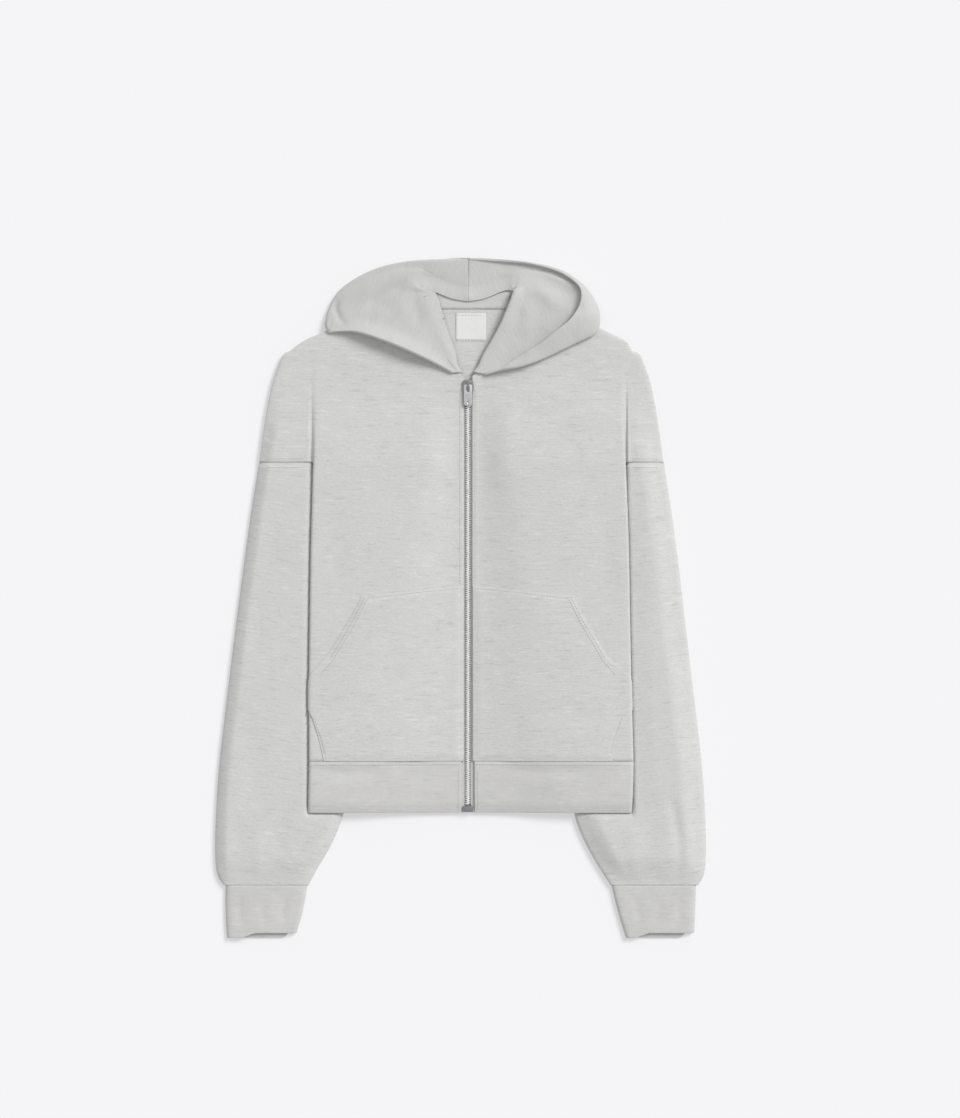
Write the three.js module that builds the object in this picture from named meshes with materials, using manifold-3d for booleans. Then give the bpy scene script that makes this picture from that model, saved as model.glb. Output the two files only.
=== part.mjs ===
// A zip-up hooded sweatshirt of light grey fleece, laid flat on its back.
// Millimetres. X runs across the garment, Y from hem to hood and Z up from the surface it lies on.
// Each side is worked out on one half, where a is the distance from the zip's centre line.
import * as THREE from 'three';
import * as BufferGeometryUtils from 'three/addons/utils/BufferGeometryUtils.js';
import Module from 'manifold-3d';

const wasm = await Module();
wasm.setup();

// Cloth and how the laid layers stack
const CLOTH = 2.2;
const HALF = CLOTH / 2;
const LOFT = 3.8;
const BACK_MID = HALF;
const FRONT_MID = CLOTH + LOFT + HALF;
const TUBE_TOP = 2 * CLOTH + LOFT;
const SEAM = 0.3;
const BAND = 3.0;
const BAND_LOFT = 2.8;
const BAND_MID = BAND / 2;
const BAND_FRONT_MID = BAND + BAND_LOFT + BAND / 2;

// Levels along the body
const HEM_TOP = 58.7;
const ARMHOLE = 401;
const SLIT = 0.5;
const CHEST_TOP = 505;

// The body lies over the sleeves, so its flanks ride up by this much
const RISE = TUBE_TOP + SEAM;
const RISE_RUN = 70;
const RISE_CLEAR = 4;
const FAINTEST_FOLD = 0.03;

// Folded edges: the body's tight side fold, and the softer one at sleeve and shoulder
const SIDE_FOLD = 2.55;
const SOFT_FOLD = 7;
const SOFT_DROP = 2;
const SOFT_SHARES = [0, 0.5, 0.87, 1];
const STEP_SPREAD = 1.5;

// The zip
const ZIP_EDGE = 5;
const ZIP_TOP = 501;
const TAPE_WIDTH = 11;
const TAPE = 1;
const CHAIN_WIDTH = 6;
const CHAIN_BOTTOM = 8;
const CHAIN_TOP = 488;
const SLIDER_Y = 489;

// The half at the wearer's right is on the viewer's left, where a counts towards -X.
// Outline of each sleeve, its folded edge hidden under the body, and the body's own side edge.
const LEFT = {
  sign: -1,
  sleeve: [
    { y: 401, outer: 240, inner: 54 }, { y: 346, outer: 249, inner: 66 },
    { y: 272, outer: 259, inner: 82 }, { y: 199, outer: 268.5, inner: 98 },
    { y: 125, outer: 277.5, inner: 114 }, { y: 52, outer: 286.5, inner: 130 },
    { y: -3, outer: 289.5, inner: 142 }, { y: -31, outer: 290.5, inner: 154 },
    { y: -50, outer: 290.5, inner: 163.5 }, { y: -66, outer: 289.5, inner: 174 },
    { y: -76, outer: 286.5, inner: 179.5 }, { y: -83, outer: 280.5, inner: 183 },
  ],
  cuff: [
    { y: -83.3, outer: 278, inner: 184.5 }, { y: -104, outer: 278.5, inner: 188 },
    { y: -125, outer: 278, inner: 192.5 }, { y: -144, outer: 276.5, inner: 197 },
  ],
  side: [
    { y: 550, edge: 174.5 }, { y: 462, edge: 176 }, { y: 401, edge: 177.5 }, { y: 301, edge: 180.5 },
    { y: 209, edge: 181.7 }, { y: 129, edge: 182.8 }, { y: 71, edge: 182 }, { y: 0, edge: 183.5 },
  ],
  shoulder: [
    { y: 530, outer: 211 }, { y: 503, outer: 223 }, { y: 466, outer: 231 },
    { y: 429, outer: 236.5 }, { y: 401, outer: 240 },
  ],
  shoulderLine: [{ a: 60, y: 598 }, { a: 174, y: 548.6 }, { a: 198, y: 539.4 }, { a: 211, y: 530 }],
};
const RIGHT = {
  sign: 1,
  sleeve: [
    { y: 401, outer: 225, inner: 54 }, { y: 346, outer: 234, inner: 66 },
    { y: 272, outer: 243.5, inner: 80 }, { y: 199, outer: 251.5, inner: 92 },
    { y: 125, outer: 260.5, inner: 102 }, { y: 52, outer: 269.5, inner: 112 },
    { y: -3, outer: 272.5, inner: 120.5 }, { y: -31, outer: 273.5, inner: 132.5 },
    { y: -50, outer: 273.5, inner: 142.5 }, { y: -66, outer: 272.5, inner: 152 },
    { y: -76, outer: 269.5, inner: 158.5 }, { y: -83, outer: 264, inner: 163 },
  ],
  cuff: [
    { y: -83.3, outer: 261.5, inner: 165 }, { y: -104, outer: 261, inner: 169.5 },
    { y: -125, outer: 260.5, inner: 175.5 }, { y: -144, outer: 259.5, inner: 181.5 },
  ],
  side: [
    { y: 550, edge: 175 }, { y: 462, edge: 177 }, { y: 401, edge: 181 }, { y: 301, edge: 185 },
    { y: 198, edge: 186.3 }, { y: 106, edge: 188.6 }, { y: 43, edge: 190.5 }, { y: 0, edge: 188 },
  ],
  shoulder: [
    { y: 530, outer: 196.5 }, { y: 503, outer: 208.5 }, { y: 466, outer: 216 },
    { y: 429, outer: 221.5 }, { y: 401, outer: 225 },
  ],
  shoulderLine: [{ a: 60, y: 598 }, { a: 174, y: 546 }, { a: 187, y: 539 }, { a: 196.5, y: 530 }],
};

// Lines of cloth that run up a panel, from the armhole's height to the neckline or shoulder
const FRONT_LINES = [
  { a: 5, topA: 5, topY: 501 }, { a: 15, topA: 11, topY: 505 }, { a: 26, topA: 19, topY: 517 },
  { a: 38, topA: 29, topY: 533.5 }, { a: 50, topA: 40.5, topY: 553 }, { a: 61, topA: 51, topY: 577 },
  { a: 72, topA: 60, topY: 598 },
];
const BACK_LINES = [
  { a: 0, topA: 0, topY: 590 }, { a: 14, topA: 12, topY: 591 }, { a: 29, topA: 25, topY: 594.3 },
  { a: 44, topA: 37, topY: 598.7 }, { a: 58, topA: 48, topY: 601 }, { a: 72, topA: 59, topY: 598 },
];
const CHEST_LINES = [
  { a: 86, topA: 76 }, { a: 101, topA: 93 }, { a: 116, topA: 110 }, { a: 131, topA: 127 },
  { a: 146, topA: 143 }, { a: 161, topA: 159 },
];
const BODY_ROWS = [59, 95, 133, 175, 222, 268, 315, 360, ARMHOLE - SLIT];
const YOKE_ROWS = 5;
const SIDE_STEPS = 3;
const STEP_STEPS = 2;
const OUTER_SHARES = [0.33, 0.67];

// The hood, section by section round the neck seam. Each section starts at the neck (a, y, z),
// rests at zMid and zOut, and ends at the outline (outA, outY). Its edge then turns on by the length
// turn: curl is +1 over the top and -1 underneath, and lift raises an edge that turns under or
// slopes one that turns over. wrap is 1 where the section starts inside the front's neckline.
const HOOD_COLUMNS = ['a', 'y', 'z', 'outA', 'outY', 'zMid', 'zOut', 'turn', 'curl', 'wrap', 'lift'];
const hoodRows = (rows) => rows.map((row) => {
  return Object.fromEntries(row.map((value, i) => [HOOD_COLUMNS[i], value]));
});
const HOOD_LEFT = hoodRows([
  [9, 505, 7.1, 20, 504.5, 10.3, 10.3, 3, -0.2, 1, 1],
  [16, 513, 7.1, 37, 514.5, 10.3, 10.3, 3, -0.3, 1, 4],
  [24.5, 527, 7.1, 65, 527.5, 10.3, 10.3, 3, -0.3, 1, 7],
  [34.7, 544, 7.1, 101, 542.5, 10.3, 10.3, 3, -0.3, 1, 8],
  [43.5, 561, 7.1, 136, 553, 10.3, 10.3, 3, -0.3, 1, 5],
  [50.5, 577, 7.1, 160, 551, 10.3, 10.3, 3, -0.3, 1, 2],
  [56, 590, 7.1, 164.5, 562, 10.3, 9, 5, -0.4, 1, 0.5],
  [57.5, 603, 7.1, 160, 579, 10, 7.1, 20, -1, 0.9, 0],
  [50, 605, 3.5, 148, 599, 8.5, 7.1, 30, -1, 0.2, 0],
  [41, 602.2, 1.1, 122, 617, 6.5, 7.1, 34, -1, 0, 0],
  [31, 598.2, 1.1, 90, 629, 5, 7.1, 30, -1, 0, 0],
  [17, 593, 1.1, 48, 635, 4, 7.1, 18, -1, 0, 0],
  [0.4, 590.6, 1.1, 0.4, 636.6, 3, 4.6, 4, 0.12, 0, 0],
]);
const HOOD_RIGHT = hoodRows([
  [9, 505, 7.1, 21, 502.5, 10.3, 10.3, 4, 0.3, 1, 0],
  [16, 513, 7.1, 39, 507.5, 10.3, 10.3, 12, 0.8, 1, 0.1],
  [22.5, 524, 7.1, 60, 510.5, 10.3, 10.3, 19, 1, 1, 0.15],
  [31.5, 539, 7.1, 83, 518.5, 10.3, 10.3, 26, 1, 1, 0.2],
  [41, 556, 7.1, 106, 529, 10.3, 10.3, 30, 1, 1, 0.25],
  [47.5, 571, 7.1, 129, 540.5, 10.3, 10.3, 37, 1, 1, 0.25],
  [53.5, 585, 7.1, 148, 549.5, 10.3, 10.3, 42, 1, 1, 0.2],
  [57.5, 597, 7.1, 152, 564, 10.3, 9.5, 36, 1, 1, 0.2],
  [56, 605, 6.5, 149.5, 581, 10, 5.5, 27, 1, 0.8, 0.2],
  [48, 604.5, 2.8, 136, 602, 6, 2.5, 18, 1, 0.1, 0.2],
  [39, 601.8, 1.1, 117, 617.5, 4, 2, 15, 1, 0, 0.15],
  [29, 597.4, 1.1, 94, 627, 3.2, 2, 14, 1, 0, 0.1],
  [16, 592.7, 1.1, 53, 634, 3, 3, 9, 0.8, 0, 0],
  [0.4, 590.6, 1.1, 0.4, 636.6, 3, 4.6, 4, 0.12, 0, 0],
]);
const HOOD_FOLD = 3;
const HOOD_LOWEST = HALF + 0.35;
const HOOD_SECTIONS_PER_ROW = 2;
const HOOD_MAIN = 7;
const HOOD_TURN = 6;
const HOOD_LEAST_TURN = 1.5;
const HOOD_BEND = 0.4;
// The seam allowance's path, each step a distance from the neck and a height: up inside the
// neckline, or straight out over a back neck seam
const NECK_INSIDE = [-1.9, -1.9, -1, 1.2];
const NECK_BEYOND = [0.8, 2, 3.5, 5.5];
const NECK_STAND = 1.4;
const NECK_ROLL = 0.45;
const NECK_SETTLE = 0.12;

// Patch pocket, from the hem seam up to its top seam, on the front's own surface. edge is 1 where it
// wraps the body's side fold, and an a beyond that fold stands for the fold itself.
const POCKET = 1.8;
const PAST_FOLD = 200;
const POCKET_GAP = 0.5;
const POCKET_INNER = { a: 9, bottom: 60.5, top: 260.5 };
const POCKET_SIDE = [
  { y: 249, a: 121, edge: 0 }, { y: 236, a: 127, edge: 0 },
  { y: 222, a: 136, edge: 0 }, { y: 199, a: 149, edge: 0 },
  { y: 180, a: 161, edge: 0 }, { y: 161, a: PAST_FOLD, edge: 0 },
  { y: 158, a: PAST_FOLD, edge: 0.25 }, { y: 155, a: PAST_FOLD, edge: 0.5 },
  { y: 152, a: PAST_FOLD, edge: 0.75 }, { y: 149, a: PAST_FOLD, edge: 1 },
  { y: 120, a: PAST_FOLD, edge: 1 }, { y: 118, a: PAST_FOLD, edge: 0.75 },
  { y: 116, a: PAST_FOLD, edge: 0.5 }, { y: 114, a: PAST_FOLD, edge: 0.25 },
  { y: 112, a: PAST_FOLD, edge: 0 }, { y: 88, a: 171, edge: 0 },
  { y: 60.5, a: 165, edge: 0 },
];
const POCKET_COLUMNS = 12;

// Shades of the object's materials
const GREY = new THREE.MeshStandardMaterial({ color: 0xcfcfcd, roughness: 0.95 });
const BAND_GREY = new THREE.MeshStandardMaterial({ color: 0xc7c6c3, roughness: 0.95 });
const TAPE_GREY = new THREE.MeshStandardMaterial({ color: 0xd4d4d2, roughness: 0.9 });
const LABEL_WHITE = new THREE.MeshStandardMaterial({ color: 0xf0f0eb, roughness: 0.8 });
const SILVER = new THREE.MeshStandardMaterial({ color: 0xb9babc, roughness: 0.35, metalness: 0.9 });

const lerp = (from, to, share) => from + (to - from) * share;
const clamp01 = (value) => Math.min(1, Math.max(0, value));

function ease(share) {
  const s = clamp01(share);
  return s * s * (3 - 2 * s);
}

// Reads one column of a table whose rows run from high y to low y
function at(rows, column, y) {
  for (let i = 0; i < rows.length - 1; i += 1) {
    const share = (rows[i].y - y) / (rows[i].y - rows[i + 1].y);
    if (share <= 1) return lerp(rows[i][column], rows[i + 1][column], Math.max(0, share));
  }
  return rows[rows.length - 1][column];
}

// Height of the shoulder line above a point a from the zip
function shoulderHeight(half, a) {
  const rows = half.shoulderLine;
  for (let i = 0; i < rows.length - 1; i += 1) {
    const share = (a - rows[i].a) / (rows[i + 1].a - rows[i].a);
    if (share <= 1) return lerp(rows[i].y, rows[i + 1].y, Math.max(0, share));
  }
  return rows[rows.length - 1].y;
}

// Reads a table by row number, on a smooth curve through its rows
function smoothRow(rows, place) {
  const i = Math.min(rows.length - 2, Math.floor(place));
  const s = place - i;
  const before = rows[Math.max(0, i - 1)];
  const after = rows[Math.min(rows.length - 1, i + 2)];
  const row = {};
  for (const key of Object.keys(rows[0])) {
    const slopeIn = (rows[i + 1][key] - before[key]) / 2;
    const slopeOut = (after[key] - rows[i][key]) / 2;
    row[key] = rows[i][key] * (2 * s ** 3 - 3 * s ** 2 + 1) + slopeIn * (s ** 3 - 2 * s ** 2 + s)
      + rows[i + 1][key] * (3 * s ** 2 - 2 * s ** 3) + slopeOut * (s ** 3 - s ** 2);
  }
  return row;
}

// Turns a grid of mid-surface points into one closed wall. cut(i, j) is true for a cell left out,
// and ring joins the last column to the first.
function wall(grid, thickness, { cut = () => false, ring = false } = {}) {
  const rows = grid.length;
  const cols = grid[0].length;
  const across = ring ? cols : cols - 1;
  const col = (j) => (ring ? (j + cols) % cols : j);
  const live = (i, j) => {
    if (i < 0 || i >= rows - 1) return false;
    if (!ring && (j < 0 || j >= across)) return false;
    return !cut(i, col(j));
  };
  const normals = grid.map((row) => row.map(() => []));
  for (let i = 0; i < rows - 1; i += 1) {
    for (let j = 0; j < across; j += 1) {
      if (!live(i, j)) continue;
      const corners = [[i, j], [i, col(j + 1)], [i + 1, col(j + 1)], [i + 1, j]];
      const [A, B, C, D] = corners.map(([r, c]) => new THREE.Vector3(...grid[r][c]));
      const normal = C.sub(A).cross(D.sub(B)).normalize();
      corners.forEach(([r, c]) => normals[r][c].push(normal));
    }
  }
  const positions = [];
  const index = new Map();
  const vertex = (i, jRaw, side) => {
    const j = col(jRaw);
    const key = `${i},${j},${side}`;
    if (!index.has(key)) {
      const around = normals[i][j];
      const mean = new THREE.Vector3();
      around.forEach((normal) => mean.add(normal));
      mean.normalize();
      const facing = around.reduce((sum, normal) => sum + normal.dot(mean), 0) / around.length;
      const reach = (side * thickness) / 2 / Math.max(0.75, facing);
      index.set(key, positions.length / 3);
      positions.push(...new THREE.Vector3(...grid[i][j]).addScaledVector(mean, reach).toArray());
    }
    return index.get(key);
  };
  const faces = [];
  const quad = (a, b, c, d) => faces.push(a, b, c, a, c, d);
  for (let i = 0; i < rows - 1; i += 1) {
    for (let j = 0; j < across; j += 1) {
      if (!live(i, j)) continue;
      quad(vertex(i, j, 1), vertex(i, j + 1, 1), vertex(i + 1, j + 1, 1), vertex(i + 1, j, 1));
      quad(vertex(i + 1, j, -1), vertex(i + 1, j + 1, -1), vertex(i, j + 1, -1), vertex(i, j, -1));
      const sides = [
        [i - 1, j, i, j, i, j + 1], [i, j + 1, i, j + 1, i + 1, j + 1],
        [i + 1, j, i + 1, j + 1, i + 1, j], [i, j - 1, i + 1, j, i, j],
      ];
      for (const [r, c, r0, c0, r1, c1] of sides) {
        if (live(r, c)) continue;
        quad(vertex(r0, c0, -1), vertex(r1, c1, -1), vertex(r1, c1, 1), vertex(r0, c0, 1));
      }
    }
  }
  const geometry = new THREE.BufferGeometry();
  geometry.setAttribute('position', new THREE.Float32BufferAttribute(positions, 3));
  geometry.setIndex(faces);
  return faceOut(geometry);
}

// Turns the faces over where a body was built inside out
function faceOut(geometry) {
  const p = geometry.attributes.position;
  const order = geometry.index.array;
  let volume = 0;
  for (let i = 0; i < order.length; i += 3) {
    const [A, B, C] = [0, 1, 2].map((k) => new THREE.Vector3().fromBufferAttribute(p, order[i + k]));
    volume += A.dot(B.cross(C));
  }
  if (volume < 0) {
    for (let i = 0; i < order.length; i += 3) [order[i], order[i + 1]] = [order[i + 1], order[i]];
  }
  return geometry;
}

// How strongly the flank still rides over the sleeve at a height on the chest
function foldStrength(y) {
  return Math.max(FAINTEST_FOLD, 1 - ease((y - ARMHOLE) / (CHEST_TOP - ARMHOLE)));
}

// Lift of the body's underside over the sleeve, a from the zip
function rise(half, a, y) {
  const inner = at(half.sleeve, 'inner', y) - RISE_CLEAR;
  const run = Math.min(RISE_RUN, inner - 2);
  const strength = y > ARMHOLE ? foldStrength(y) : 1;
  return RISE * strength * ease(1 - (inner - a) / run);
}

const foldStart = (half, y, thickness) => at(half.side, 'edge', y) - thickness / 2 - SIDE_FOLD;

// One half of a body panel: a grid of points (a, y, z), from the centre line out.
// layer is 'front' or 'back'.
function halfPanel(half, layer) {
  const front = layer === 'front';
  const lines = [...(front ? FRONT_LINES : BACK_LINES)];
  CHEST_LINES.forEach((line) => lines.push({ ...line, topY: shoulderHeight(half, line.topA) }));
  const neckLine = (front ? FRONT_LINES : BACK_LINES).length - 1;
  const shift = front ? 0 : LOFT + SEAM;
  const turn = front ? -1 : 1;
  const level = front ? FRONT_MID : BACK_MID;
  const firstA = lines[0].a;
  const baseFold = foldStart(half, ARMHOLE, CLOTH);
  const bodyRow = (y) => {
    const start = foldStart(half, y, CLOTH);
    const row = lines.map(({ a }) => {
      const here = lerp(firstA, start, (a - firstA) / (baseFold - firstA));
      return [here, y, level + rise(half, here, y)];
    });
    for (let k = 0; k <= SIDE_STEPS; k += 1) {
      const angle = (k / SIDE_STEPS) * Math.PI / 2;
      const z = level + RISE + turn * SIDE_FOLD * (1 - Math.cos(angle));
      row.push([start + SIDE_FOLD * Math.sin(angle), y, z]);
    }
    const last = row[row.length - 1];
    const blanks = STEP_STEPS + OUTER_SHARES.length + SOFT_SHARES.length;
    for (let k = 0; k < blanks; k += 1) {
      row.push(last);
    }
    return row;
  };
  const grid = BODY_ROWS.map(bodyRow);
  const foldColumn = lines.length;
  const total = grid[0].length;
  const softStart = total - SOFT_SHARES.length;
  const stepAt = (column, y) => {
    const strength = foldStrength(y);
    const angle = Math.acos(1 - strength);
    const spread = STEP_SPREAD * (1 - strength);
    const k = column - foldColumn;
    const base = foldStart(half, y, CLOTH) - shift;
    if (k <= SIDE_STEPS) {
      const part = angle * (k / SIDE_STEPS);
      const out = SIDE_FOLD * Math.sin(part) + spread * k;
      return { a: base + out, drop: SIDE_FOLD * (1 - Math.cos(part)) };
    }
    const part = angle * (1 - (k - SIDE_STEPS) / STEP_STEPS);
    const wide = RISE - SIDE_FOLD;
    const run = SIDE_FOLD * Math.sin(angle) + wide * (Math.sin(angle) - Math.sin(part));
    const drop = SIDE_FOLD * (1 - Math.cos(angle)) + wide * (Math.cos(part) - Math.cos(angle));
    return { a: base + run + spread * k, drop };
  };
  const stepEnd = foldColumn + SIDE_STEPS + STEP_STEPS;
  const topStep = stepAt(stepEnd, CHEST_TOP).a;
  const topOuter = half.shoulderLine[half.shoulderLine.length - 1].a;
  const topOf = (column) => {
    if (column < foldColumn) return { a: lines[column].topA, y: lines[column].topY };
    let a = stepAt(Math.min(column, stepEnd), CHEST_TOP).a;
    if (column > stepEnd) a = lerp(topStep, topOuter, OUTER_SHARES[column - stepEnd - 1] ?? 1);
    return { a, y: shoulderHeight(half, a) };
  };
  const yokeRow = (share, rowRoll) => {
    const row = [];
    for (let column = 0; column < total; column += 1) {
      const top = topOf(column);
      let roll = 0;
      if (column === neckLine) roll = 0.5 * rowRoll;
      if (column > neckLine) roll = rowRoll;
      let edge = column >= softStart ? SOFT_SHARES[column - softStart] : 0;
      [roll, edge] = [roll * Math.sqrt(1 - edge ** 2 / 2), edge * Math.sqrt(1 - roll ** 2 / 2)];
      const base = ARMHOLE + SLIT;
      const end = column > neckLine ? top.y - HALF : top.y;
      const y = rowRoll > 0 || share === 1
        ? end - SOFT_FOLD * (1 - (column > neckLine ? roll : rowRoll))
        : lerp(base, end - SOFT_FOLD, share);
      let a;
      let z = level;
      if (column < foldColumn) {
        a = lerp(lines[column].a, top.a, (y - base) / (top.y - base));
        z += rise(half, a, y);
      } else if (column <= stepEnd) {
        const step = stepAt(column, y);
        a = step.a;
        z += RISE * foldStrength(y) - step.drop;
      } else {
        const outer = at(half.shoulder, 'outer', y) - HALF;
        const from = stepAt(stepEnd, y).a;
        const flat = OUTER_SHARES[column - stepEnd - 1];
        a = flat ? lerp(from, outer - SOFT_FOLD, flat) : outer - SOFT_FOLD * (1 - edge);
      }
      const turned = Math.min(1, Math.hypot(roll, edge));
      z += turn * SOFT_DROP * (1 - Math.sqrt(1 - turned ** 2));
      row.push([a, y, z]);
    }
    return row;
  };
  for (let r = 0; r <= YOKE_ROWS; r += 1) {
    grid.push(yokeRow(r / YOKE_ROWS, 0));
  }
  SOFT_SHARES.slice(1).forEach((roll) => grid.push(yokeRow(1, roll)));
  return { grid, foldColumn, sideColumn: foldColumn + SIDE_STEPS };
}

const place = (half, grid) => grid.map((row) => row.map(([a, y, z]) => [half.sign * a, y, z]));
const SLIT_ROW = BODY_ROWS.length - 1;

function frontPanel(half) {
  const { grid, sideColumn } = halfPanel(half, 'front');
  return wall(place(half, grid), CLOTH, { cut: (i, j) => i <= SLIT_ROW && j >= sideColumn });
}

function backPanel() {
  const left = halfPanel(LEFT, 'back');
  const right = halfPanel(RIGHT, 'back');
  const middle = left.grid[0].length - 1;
  const grid = left.grid.map((row, i) => {
    const mirrored = place(LEFT, [row])[0].reverse();
    return [...mirrored, ...place(RIGHT, [right.grid[i]])[0].slice(1)];
  });
  const cut = (i, j) => {
    const column = j < middle ? middle - 1 - j : j - middle;
    if (i < SLIT_ROW) return column >= left.sideColumn;
    return i === SLIT_ROW && column >= left.foldColumn - 1;
  };
  return wall(grid, CLOTH, { cut });
}

// A flat laid tube, ring by ring: bottom layer, soft outer fold, top layer, inner fold
function laidTube(half, rows, thickness, loft, topSteps) {
  const mid = thickness / 2;
  const centre = thickness + loft / 2;
  const radius = centre - mid;
  const grid = rows.map(({ y, outer, inner }) => {
    const ring = [];
    const wide = SOFT_FOLD;
    const tight = SOFT_FOLD / 2 + 0.5;
    const outCentre = outer - mid - wide;
    const inCentre = inner + mid + tight;
    for (let k = 0; k < 4; k += 1) {
      ring.push([lerp(inCentre, outCentre, k / 4), y, mid]);
    }
    for (let k = 0; k < 6; k += 1) {
      const angle = Math.PI * (k / 6 - 0.5);
      ring.push([outCentre + wide * Math.cos(angle), y, centre + radius * Math.sin(angle)]);
    }
    for (let k = 0; k < topSteps; k += 1) {
      ring.push([lerp(outCentre, inCentre, k / topSteps), y, centre + radius]);
    }
    for (let k = 0; k < 4; k += 1) {
      const angle = Math.PI * (k / 4 + 0.5);
      ring.push([inCentre + tight * Math.cos(angle), y, centre + radius * Math.sin(angle)]);
    }
    return ring;
  });
  return wall(place(half, grid), thickness, { ring: true });
}

function sleeve(half) {
  const rows = half.sleeve.map((row) => ({ ...row }));
  rows[0].y = ARMHOLE - SEAM / 2;
  return laidTube(half, rows, CLOTH, LOFT, 8);
}

const cuff = (half) => laidTube(half, half.cuff, BAND, TUBE_TOP - 2 * BAND, 6);

// The hem band: from the zip over one front, round the side, across the back and round to the zip again
function hemBand() {
  const zipEdge = ZIP_EDGE + 2.5;
  const radius = (BAND_FRONT_MID - BAND_MID) / 2;
  const steps = 13;
  const rowHeights = [HEM_TOP, 29, 0];
  const halfRow = (half, y, level, fromA) => {
    const start = at(half.side, 'edge', y) - BAND / 2 - radius;
    const row = [];
    for (let k = 0; k <= steps; k += 1) {
      const a = lerp(fromA, start, k / steps);
      row.push([half.sign * a, y, level + rise(half, a, y)]);
    }
    return row;
  };
  const fold = (half, y) => {
    const start = at(half.side, 'edge', y) - BAND / 2 - radius;
    const row = [];
    for (let k = 1; k < 8; k += 1) {
      const angle = Math.PI * (0.5 - k / 8);
      const z = BAND_MID + radius + RISE + radius * Math.sin(angle);
      row.push([half.sign * (start + radius * Math.cos(angle)), y, z]);
    }
    return row;
  };
  const grid = rowHeights.map((y) => [
    ...halfRow(LEFT, y, BAND_FRONT_MID, zipEdge), ...fold(LEFT, y),
    ...halfRow(LEFT, y, BAND_MID, 0).reverse(), ...halfRow(RIGHT, y, BAND_MID, 0).slice(1),
    ...fold(RIGHT, y).reverse(), ...halfRow(RIGHT, y, BAND_FRONT_MID, zipEdge).reverse(),
  ]);
  return wall(grid, BAND);
}

const unit = ([x, y]) => [x / Math.hypot(x, y), y / Math.hypot(x, y)];
const step = ([x, y], [dx, dy], by) => [x + dx * by, y + dy * by];

// One section of the hood, from the neck seam out to its edge and round its turn. It leaves a back
// neck seam square to it, which seamSide points out, and bends on the way to its place on the outline.
function hoodSection(row, seamSide) {
  const points = [];
  const neck = [row.a, row.y];
  const out = [row.outA, row.outY];
  const length = Math.hypot(out[0] - neck[0], out[1] - neck[1]);
  const chord = unit([out[0] - neck[0], out[1] - neck[1]]);
  const share = row.a < HOOD_FOLD ? 1 : clamp01(row.wrap);
  const lead = unit([lerp(seamSide[0], chord[0], share), lerp(seamSide[1], chord[1], share)]);
  const control = step(neck, lead, HOOD_BEND * length);
  const tail = unit([out[0] - control[0], out[1] - control[1]]);
  const add = ([x, y], z) => points.push([x, y, Math.max(z, HOOD_LOWEST)]);
  const settled = lerp(lerp(row.z, row.zMid, NECK_SETTLE), row.zMid, share);
  const insideHeights = [row.z, row.z + NECK_STAND, settled - NECK_ROLL, settled];
  const beyondHeights = [row.z, row.z, (row.z + settled) / 2, settled];
  const wrap = clamp01(row.wrap);
  NECK_INSIDE.forEach((inside, k) => {
    const spot = step(neck, lead, lerp(NECK_BEYOND[k], inside, wrap));
    add(spot, lerp(beyondHeights[k], insideHeights[k], wrap));
  });
  const from = step(neck, lead, lerp(NECK_BEYOND[3], NECK_INSIDE[3], wrap));
  const curl = Math.abs(row.curl);
  const sweep = curl * (Math.PI - (row.curl > 0 ? row.lift : 0));
  const straight = Math.max(row.turn * curl ** 2 - sweep * HOOD_FOLD, HOOD_LEAST_TURN);
  const quarter = Math.min(sweep, Math.PI / 2);
  const inset = (HOOD_FOLD + HALF) * Math.sin(quarter) + straight * Math.max(0, Math.cos(sweep));
  const to = step(out, tail, -inset);
  for (let k = 1; k <= HOOD_MAIN; k += 1) {
    const s = k / HOOD_MAIN;
    const bow = 4 * s * (1 - s) * (row.zMid - (settled + row.zOut) / 2);
    const edgeLift = row.curl < 0 ? row.lift * s ** 3 : 0;
    const spot = [0, 1].map((i) => {
      return lerp(lerp(from[i], control[i], s), lerp(control[i], to[i], s), s);
    });
    add(spot, lerp(settled, row.zOut, s) + bow + edgeLift);
  }
  const start = points[points.length - 1][2];
  const side = row.curl < 0 ? -1 : 1;
  const arcSteps = HOOD_TURN - 2;
  for (let k = 1; k <= HOOD_TURN; k += 1) {
    const angle = Math.min(1, k / arcSteps) * sweep;
    const on = (Math.max(0, k - arcSteps) / 2) * straight;
    const reach = HOOD_FOLD * Math.sin(angle) + on * Math.cos(angle);
    const climb = HOOD_FOLD * (1 - Math.cos(angle)) + on * Math.sin(angle);
    add(step(to, tail, reach), start + side * climb);
  }
  return points;
}

function hood(half, table) {
  const sections = (table.length - 1) * HOOD_SECTIONS_PER_ROW;
  const grid = [];
  for (let k = 0; k <= sections; k += 1) {
    const row = k / HOOD_SECTIONS_PER_ROW;
    const before = smoothRow(table, Math.max(0, row - 0.25));
    const after = smoothRow(table, Math.min(table.length - 1, row + 0.25));
    const seamSide = unit([after.y - before.y, before.a - after.a]);
    grid.push(hoodSection(smoothRow(table, row), seamSide));
  }
  return wall(place(half, grid), CLOTH);
}

// A point of the front's surface s along the cloth from the zip, moved out by a distance
function onFront(half, s, y, out) {
  const start = foldStart(half, y, CLOTH);
  if (s <= start) {
    const slope = (rise(half, s + 1, y) - rise(half, s - 1, y)) / 2;
    const length = Math.hypot(slope, 1);
    return [s - (out * slope) / length, y, FRONT_MID + rise(half, s, y) + out / length];
  }
  const angle = (s - start) / SIDE_FOLD;
  const radius = SIDE_FOLD + out;
  const z = FRONT_MID + RISE - SIDE_FOLD + radius * Math.cos(angle);
  return [start + radius * Math.sin(angle), y, z];
}

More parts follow.
